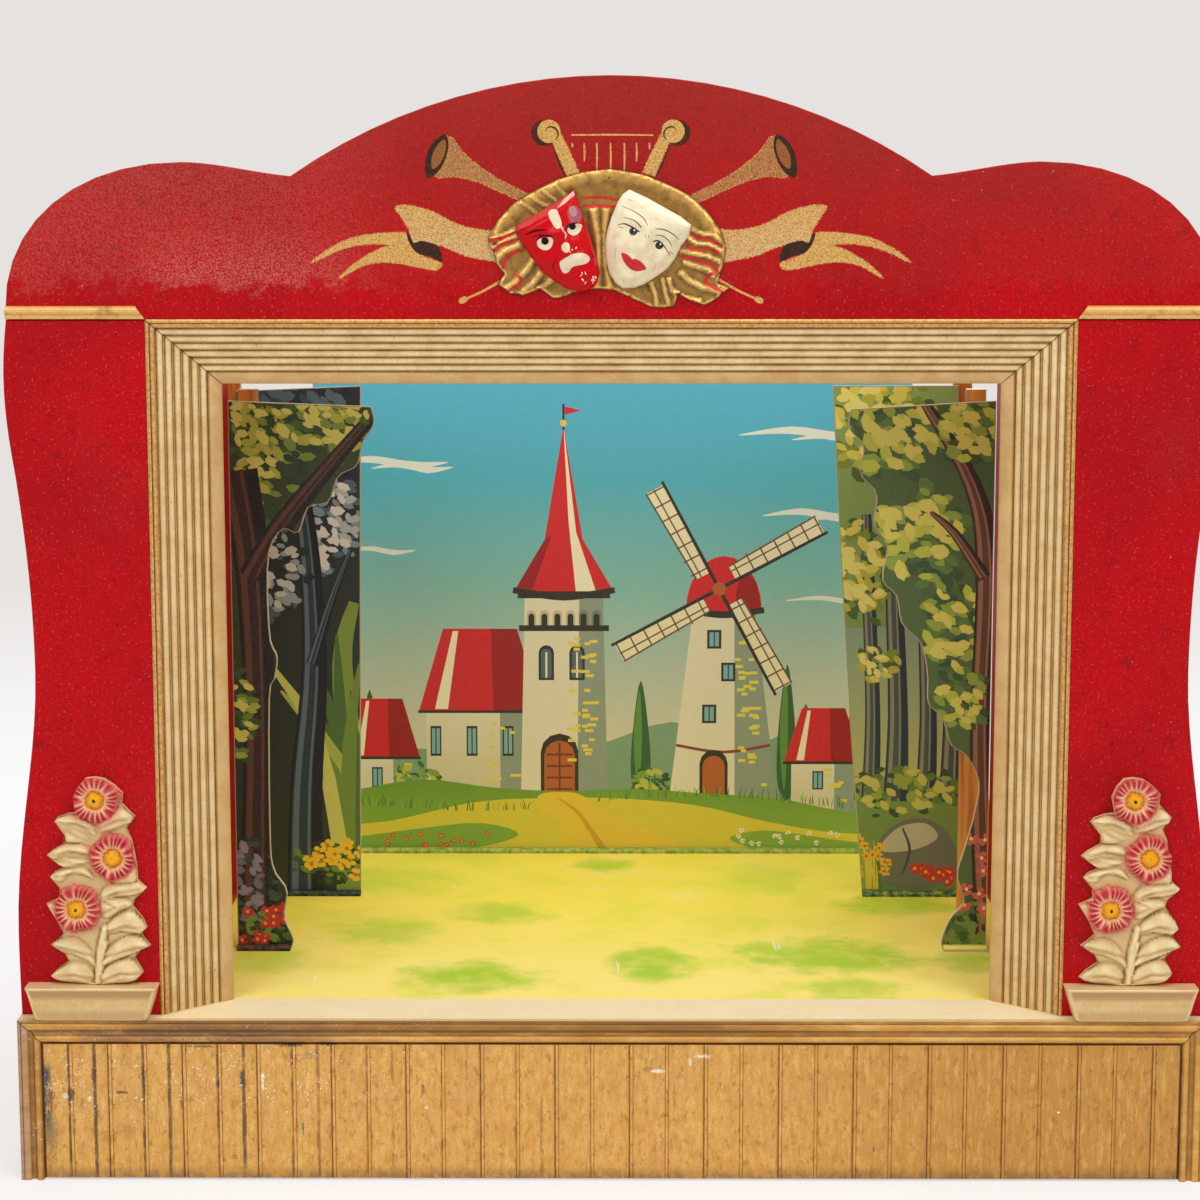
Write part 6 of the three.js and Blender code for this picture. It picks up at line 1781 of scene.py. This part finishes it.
def stalkPaint(x, z):
    p = stalk
    rise, curve = stalkCurve(x, z)
    # the plaster is lightened on high, rounded places as painted light, and darkened in creases and low
    # places by glaze and painted shade
    colour = mixed(tint(p["plaster"]), tint(p["light"]), curve * 2.6 + (rise - 6.0) * 0.1)
    colour = mixed(colour, tint(p["glazeAndShade"]), -curve * 2.0 - 0.1 + max(0.0, (5.4 - rise) * 0.08))
    for number, (cx, cz, radius) in enumerate(flowerPlaces):
        if math.hypot(x - cx, z - cz) > radius * 1.6:
            continue
        share, phase, lobe = flowerAt(number, x, z)
        if share > 1:
            spray = max(0.0, 1 - (share - 1) / 0.36) ** 1.5
            colour = mixed(colour, tint(p["pink"]), 0.7 * spray * (0.7 + 0.3 * math.sin(9 * x + 5 * z)))
            continue
        turn = math.floor(phase + 0.5)
        odd = math.sin(turn * 12.9898 + number * 4.1) * 43758.5453
        odd -= math.floor(odd)
        valley = min(1.0, max(0.0, (0.8 - lobe) / 1.0))
        start = 0.40 + 0.14 * odd
        rosy = min(1.0, max(0.0, (share - start) / 0.16)) * (valley ** 0.8) * (0.75 + 0.25 * odd)
        ring = max(0.0, 1 - abs(share - 0.84) / 0.2)
        petal = mixed(tint(p["cream"]), tint(p["petal"]), (share - 0.45) * 2.4)
        petal = mixed(petal, tint("d03a4e"), ring * (0.34 + 0.4 * odd))
        petal = mixed(petal, tint(p["rose"]), rosy * (1 - 0.5 * max(0.0, (share - 0.9) / 0.1)))
        petal = mixed(petal, tint("e88c88"), (share - 0.93) * 8)
        heart = p["heart"] / radius * (1.12 + 0.16 * lobe + 0.12 * (odd - 0.5))
        colour = mixed(petal, tint("eeb04c"), (1 - (share - heart) / 0.1) * 0.8 if share > heart else 1)
        if share < heart:
            colour = mixed(tint(p["yellow"]), tint(p["orange"]),
                           (share / heart - 0.45) * 1.1 + 0.2 * math.sin(2 * x + 3 * z))
            if share * radius < 1.0 and number != 1:
                colour = tint("3a2208")
    return colour


def flowerSpots():
    spots = []
    for cx, cz, radius in flowerPlaces:
        spots.append((cx, cz))
        for share in (0.06, 0.16, 0.26, 0.33, 0.38, 0.44, 0.5, 0.57, 0.64, 0.71, 0.78, 0.85, 0.91, 0.96):
            count = 105 if share > 0.4 else 60 if share > 0.3 else 24 if share > 0.1 else 8
            for k in range(count):
                angle = 2 * math.pi * k / count
                spots.append((cx + share * radius * math.cos(angle), cz + share * radius * math.sin(angle)))
    return spots


plasterPaint = paintedRelief("plasterPaint", 0.62, 0.0, chips=0.0, dirt="d2b684", grime=0.25, bloom=0.03,
                             gloss=0.2)
petalRims = [(oval(cx, cz, radius, radius, 54), stalkPaint) for cx, cz, radius in flowerPlaces]
stalkBack = stalk["back"] * mm - benchBack
leftStalk = printedSheet("flower_stalk_left_cast", stalkLine, [(stalkLine, stalkPaint)] + petalRims,
                         stalkBack, 0.0, "stage", "flower_plaster", plasterPaint, ground=stalk["plaster"],
                         spacing=1.1, height=stalkHeight, extra=flowerSpots())
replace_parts(leftStalk, "flower_stalk_left")
rightStalk = leftStalk.copy()
rightStalk.data = leftStalk.data.copy()
rightStalk.name = "flower_stalk_right_cast"
rightStalk.data.transform(Matrix.Translation((stalk["step"] * mm, 0, 0)))
bpy.context.scene.collection.objects.link(rightStalk)
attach(rightStalk, "stage")
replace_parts(rightStalk, "flower_stalk_right")


planter = {"foot": 113, "tall": 23, "half": 45, "footHalf": 38, "deep": 17, "footDeep": 16.4, "round": 3,
           "corner": 3.2}
planterLevels = [
    # share of the height, the cuts off its ends and off its face as shares of the round, and how dark its
    # painted shade is, a painted highlight below zero
    (0, 0.8, 0.8, 0.6), (0.01, 0.55, 0.5, 0.5), (0.025, 0.3, 0.24, 0.3), (0.05, 0.1, 0.07, 0.3),
    (0.09, 0, 0, 0.4), (0.16, 0, 0, 0.45), (0.24, 0, 0.01, 0.45), (0.32, 0, 0.03, 0.3),
    (0.38, 0, 0.06, 0.05), (0.44, 0, 0.12, 0), (0.5, 0, 0.2, 0), (0.56, 0, 0.27, 0), (0.62, 0, 0.32, 0.15),
    (0.68, 0, 0.35, 0.45), (0.74, 0, 0.34, 0.65), (0.8, 0.02, 0.3, 0.8), (0.86, 0.04, 0.22, 0.85),
    (0.9, 0.04, 0.12, 0.8), (0.93, 0.02, 0.02, 0.3), (0.95, 0, -0.02, 0), (0.985, 0, -0.01, -0.6),
    (1, 0.08, 0.1, -0.6)]


def planterPiece(name, middle):
    p = planter
    spots, wear = [], []
    for up, cut, hollow, dark in planterLevels:
        half = p["footHalf"] + (p["half"] - p["footHalf"]) * up - cut * p["round"]
        deep = p["footDeep"] + (p["deep"] - p["footDeep"]) * up - hollow * p["round"]
        plan = [(-half, 0), (-half, -deep * 0.5)]
        for side in (-1, 1):
            turns = [math.pi / 2 * k / 4 for k in (range(5) if side < 0 else range(4, -1, -1))]
            plan += [(side * (half - p["corner"] * (1 - math.cos(a))),
                      -deep + p["corner"] * (1 - math.sin(a))) for a in turns]
            if side < 0:
                plan += [(half * k / 8, -deep) for k in range(-6, 7)]
        plan += [(half, -deep * 0.5), (half, 0)]
        spots += [((middle + x) * mm, y * mm - benchBack, (p["foot"] + up * p["tall"]) * mm) for x, y in plan]
        # each spot's painted shade: its level's darkness on the face, and a painted highlight on the rounded
        # ends
        wear += [dark if abs(x) < half - p["corner"] * 0.9 else -0.3 for x, y in plan]
    return tubePiece(name + "_block", spots, len(plan), "stage", "planter_gold", planterGold,
                     {"groove": wear})


def planterPaint(name):
    # champagne gold sprayed over white and chipped to it, with painted shade in bands below the rim and near
    # the foot, painted highlights along the rim and the rounded ends, and painted light on upward faces
    look = Look(name, roughness=0.4, metallic=0.2, specular=0.35)
    groove = look.attribute("groove")
    mottle = look.noise(12, 6, 0.65)
    fine = look.noise(0.8, 3, 0.7)
    combed = look.noise(1.1, 3, 0.6, stretch=(1, 1, 0.12))
    base = mottle.ramp((0.3, "c6a468"), (0.5, "d2b278"), (0.68, "dfc08c"))
    base = fine.ease(0.45, 0.62, 0, 0.22).blend(base, "b08c58")
    base = combed.ease(0.5, 0.7, 0, 0.25).blend(base, "e6d0a0")
    # dull here is painted shade, in the darker bands that planterLevels gives
    dull = groove + mottle.ease(0.3, 0.7, -0.12, 0.12)
    base = dull.ease(0, 0.9, 0, 0.78).blend(base, "a87c4c")
    # lighter along the rim and the rounded ends: painted highlight
    base = groove.ease(-0.1, -0.5, 0, 0.8).blend(base, "e8d4a8")
    # lighter on upward faces: painted light
    lying = look.facing("Z").ease(0.8, 0.95)
    base = (lying * 0.75).blend(base, "e4c490")
    chips = look.noise(3.2, 3, 0.7).ease(0.73, 0.76, 0, 0.8)
    base = chips.blend(base, "f6ecd4")
    look.give("Base Color", base)
    look.give("Roughness", mottle.ease(0.3, 0.7, 0.34, 0.5))
    look.relief(mottle + fine, 0.12, 0.4)
    return look.material


planterGold = planterPaint("planterGold")
for name, middle in (("planter_left", -353), ("planter_right", 353)):
    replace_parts(planterPiece(name, middle), name)
print("flower stalks and planters")


# The stage print: pale yellow with soft green patches, worn to the paper here and there

deck = {"front": "fce878", "ground": "f7e24a", "green": "a8cc1e", "wash": "dede3e", "pale": "f8e88c",
        "border": "f0dfa8"}
patches = [
    # x, y behind the red face, reach across and back, strength
    (-9, 437, 27, 34, 0.8), (-86, 277, 44, 38, 0.7), (-176, 220, 52, 44, 0.6), (-103, 97, 58, 46, 1.0),
    (28, 130, 34, 52, 0.95), (128, 394, 36, 56, 0.4), (225, 302, 50, 42, 0.8), (157, 155, 80, 56, 0.95),
    (171, 66, 42, 34, 0.7), (-252, 140, 38, 46, 0.5), (264, 145, 30, 40, 0.75), (-183, 384, 70, 60, 0.35)]


def deckPrint(name):
    look = Look(name, roughness=0.5, specular=0.25)
    d = deck
    across, back = look.place("X"), look.place("Y")
    cloud = look.noise(70, 5, 0.6)
    grain = look.noise(0.8, 2, 0.6)
    base = back.ease(-0.2, 0.1).blend(d["front"], d["ground"])
    base = cloud.ease(0.5, 0.72, 0, 0.45).blend(base, d["pale"])
    base = cloud.ease(0.5, 0.34, 0, 0.6).blend(base, d["wash"])
    green = 0.0
    wander = look.noise(26, 4, 0.6).ease(0.3, 0.7, -0.35, 0.35)
    for px, py, wide, deep, strong in patches:
        reach = ovalReach(across, back, px * mm, py * mm - benchBack, wide * mm, deep * mm)
        green = look.math("MAXIMUM", green, (reach + wander).ease(1.25, -0.1, 0, strong))
    base = green.blend(base, d["green"])
    base = grain.ease(0.4, 0.62, 0, 0.06).blend(base, "f4ecd0")
    rubs = look.noise(22, 8, 0.75, stretch=(0.2, 1, 1)).ease(0.62, 0.76, 0, 0.3)
    base = rubs.blend(base, d["border"])
    scratch = look.noise(7, 2, stretch=(1, 0.08, 1), turn=(0, 0, 0.9)).ease(0.69, 0.7, 0, 0.5)
    base = (scratch * cloud.ease(0.5, 0.6)).blend(base, "fbf4d8")
    sides = abs(look.facing("Z")).ease(0.4, 0.6)
    base = sides.blend("c7b07c", base)
    look.give("Base Color", base)
    look.relief(look.noise(30, 2), 0.4, 0.25)
    return look.material


finish("cleat_front_right", deckPrint("cleatPrint"))
finish("stage_floor", deckPrint("deckPrint"))


def footPrint(name, dark, middle, light):
    # a cleat in the dark leaves of the card that stands behind it
    look = Look(name, roughness=0.5, specular=0.25)
    leaves = look.noise(5, 3, 0.6)
    look.give("Base Color", leaves.ramp((0.4, dark), (0.5, middle), (0.62, light)))
    look.relief(leaves, 0.1, 0.3)
    return look.material


for name, tones in {"front_left": ("1a2016", "2e3c1c", "7c2a20"), "back_left": ("141c20", "26361e", "4c5c26"),
                    "back_right": ("2c4424", "566c2c", "8c983a"),
                    "backdrop": ("7c9030", "96a63a", "b4b844")}.items():
    finish("cleat_" + name, footPrint("foot_" + name, *tones))
print("stage print")


# Room, lamps and camera

room = {"floor": "f3f1f0", "near": "fcfcfc", "wall": "e6e2df", "floorSize": 12.0, "sky": 0.42,
        "shadow": (0.45, 1.3), "fade": (0.9, 3.2)}
lamps = [
    # name, place, aimed at, size, watts
    ("keyLamp", (-1.6, -2.5, 2.3), (0, -0.1, 0.35), 1.7, 34),
    ("fillLamp", (1.7, -2.5, 2.5), (0, -0.1, 0.35), 1.7, 36),
    ("topLamp", (0.1, -0.3, 2.6), (0, 0.05, 0.1), 1.5, 30),
    ("backLamp", (0.6, 2.6, 1.6), (0, 0.1, 0.3), 1.6, 20),
]
view = {"lens": 84, "sensor": 36, "place": (4.9, -1854.5, 665.8), "pitch": 0.1424, "yaw": 0.0066,
        "roll": -0.0006}


def backgroundRays(tree):
    # the rays that show the background as it is: the camera's, and those that metal and glass throw back
    path = tree.nodes.new("ShaderNodeLightPath")
    total = path.outputs["Is Camera Ray"]
    for word in ("Is Glossy Ray", "Is Transmission Ray"):
        either = tree.nodes.new("ShaderNodeMath")
        either.operation = "MAXIMUM"
        tree.links.new(total, either.inputs[0])
        tree.links.new(path.outputs[word], either.inputs[1])
        total = either.outputs["Value"]
    return total


def mixShaders(tree, share, lit, seen, output):
    mix = tree.nodes.new("ShaderNodeMixShader")
    tree.links.new(share, mix.inputs["Fac"])
    tree.links.new(lit, mix.inputs[1])
    tree.links.new(seen, mix.inputs[2])
    tree.links.new(mix.outputs["Shader"], output.inputs["Surface"])


def paleRoom():
    # to the camera the floor turns from a lit surface near the theatre into the colour of the wall
    look = Look("paleFloor", roughness=0.9, specular=0.1)
    look.give("Base Color", room["floor"])
    across, back = look.place("X"), look.place("Y")
    far = look.math("SQRT", across * across + back * back)
    tree = look.tree
    glow = tree.nodes.new("ShaderNodeEmission")
    look.feed(glow.inputs["Color"], far.ease(*room["fade"]).blend(room["near"], room["wall"]))
    seen = Value(look, backgroundRays(tree)) * far.ease(*room["shadow"], 0.55, 1)
    mixShaders(tree, seen.socket, tree.nodes["Principled BSDF"].outputs["BSDF"], glow.outputs["Emission"],
               tree.nodes["Material Output"])
    half = room["floorSize"] / 2
    mesh = bpy.data.meshes.new("floor")
    mesh.from_pydata([(-half, -half, 0), (half, -half, 0), (half, half, 0), (-half, half, 0)], [],
                     [(0, 1, 2, 3)])
    floor = bpy.data.objects.new("floor", mesh)
    mesh.materials.append(look.material)
    bpy.context.scene.collection.objects.link(floor)

    world = bpy.data.worlds.new("studio")
    bpy.context.scene.world = world
    world.use_nodes = True
    tree = world.node_tree
    light = tree.nodes["Background"]
    light.inputs["Color"].default_value = (1, 1, 1, 1)
    light.inputs["Strength"].default_value = room["sky"]
    seen = tree.nodes.new("ShaderNodeBackground")
    seen.inputs["Color"].default_value = tint(room["wall"])
    mixShaders(tree, backgroundRays(tree), light.outputs["Background"], seen.outputs["Background"],
               tree.nodes["World Output"])

    for name, place, aim, size, watts in lamps:
        data = bpy.data.lights.new(name, "AREA")
        data.size = size
        data.energy = watts
        lamp = bpy.data.objects.new(name, data)
        lamp.location = place
        lamp.rotation_euler = (Vector(aim) - Vector(place)).to_track_quat("-Z", "Y").to_euler()
        bpy.context.scene.collection.objects.link(lamp)


def photoCamera():
    data = bpy.data.cameras.new("camera")
    data.lens = view["lens"]
    data.sensor_width = view["sensor"]
    data.clip_end = 50
    camera = bpy.data.objects.new("camera", data)
    right = Vector((math.cos(view["yaw"]), math.sin(view["yaw"]), 0))
    ahead = Vector((-math.sin(view["yaw"]) * math.cos(view["pitch"]),
                    math.cos(view["yaw"]) * math.cos(view["pitch"]), -math.sin(view["pitch"])))
    up = right.cross(ahead)
    axes = Matrix((right, up, -ahead)).transposed().to_4x4()
    x, y, z = view["place"]
    place = Vector((x * mm, y * mm - benchBack, z * mm))
    camera.matrix_world = Matrix.Translation(place) @ axes @ Matrix.Rotation(view["roll"], 4, "Z")
    bpy.context.scene.collection.objects.link(camera)
    bpy.context.scene.camera = camera


paleRoom()
photoCamera()
bpy.context.scene.view_settings.view_transform = "Standard"
print("room, lamps and camera ready")
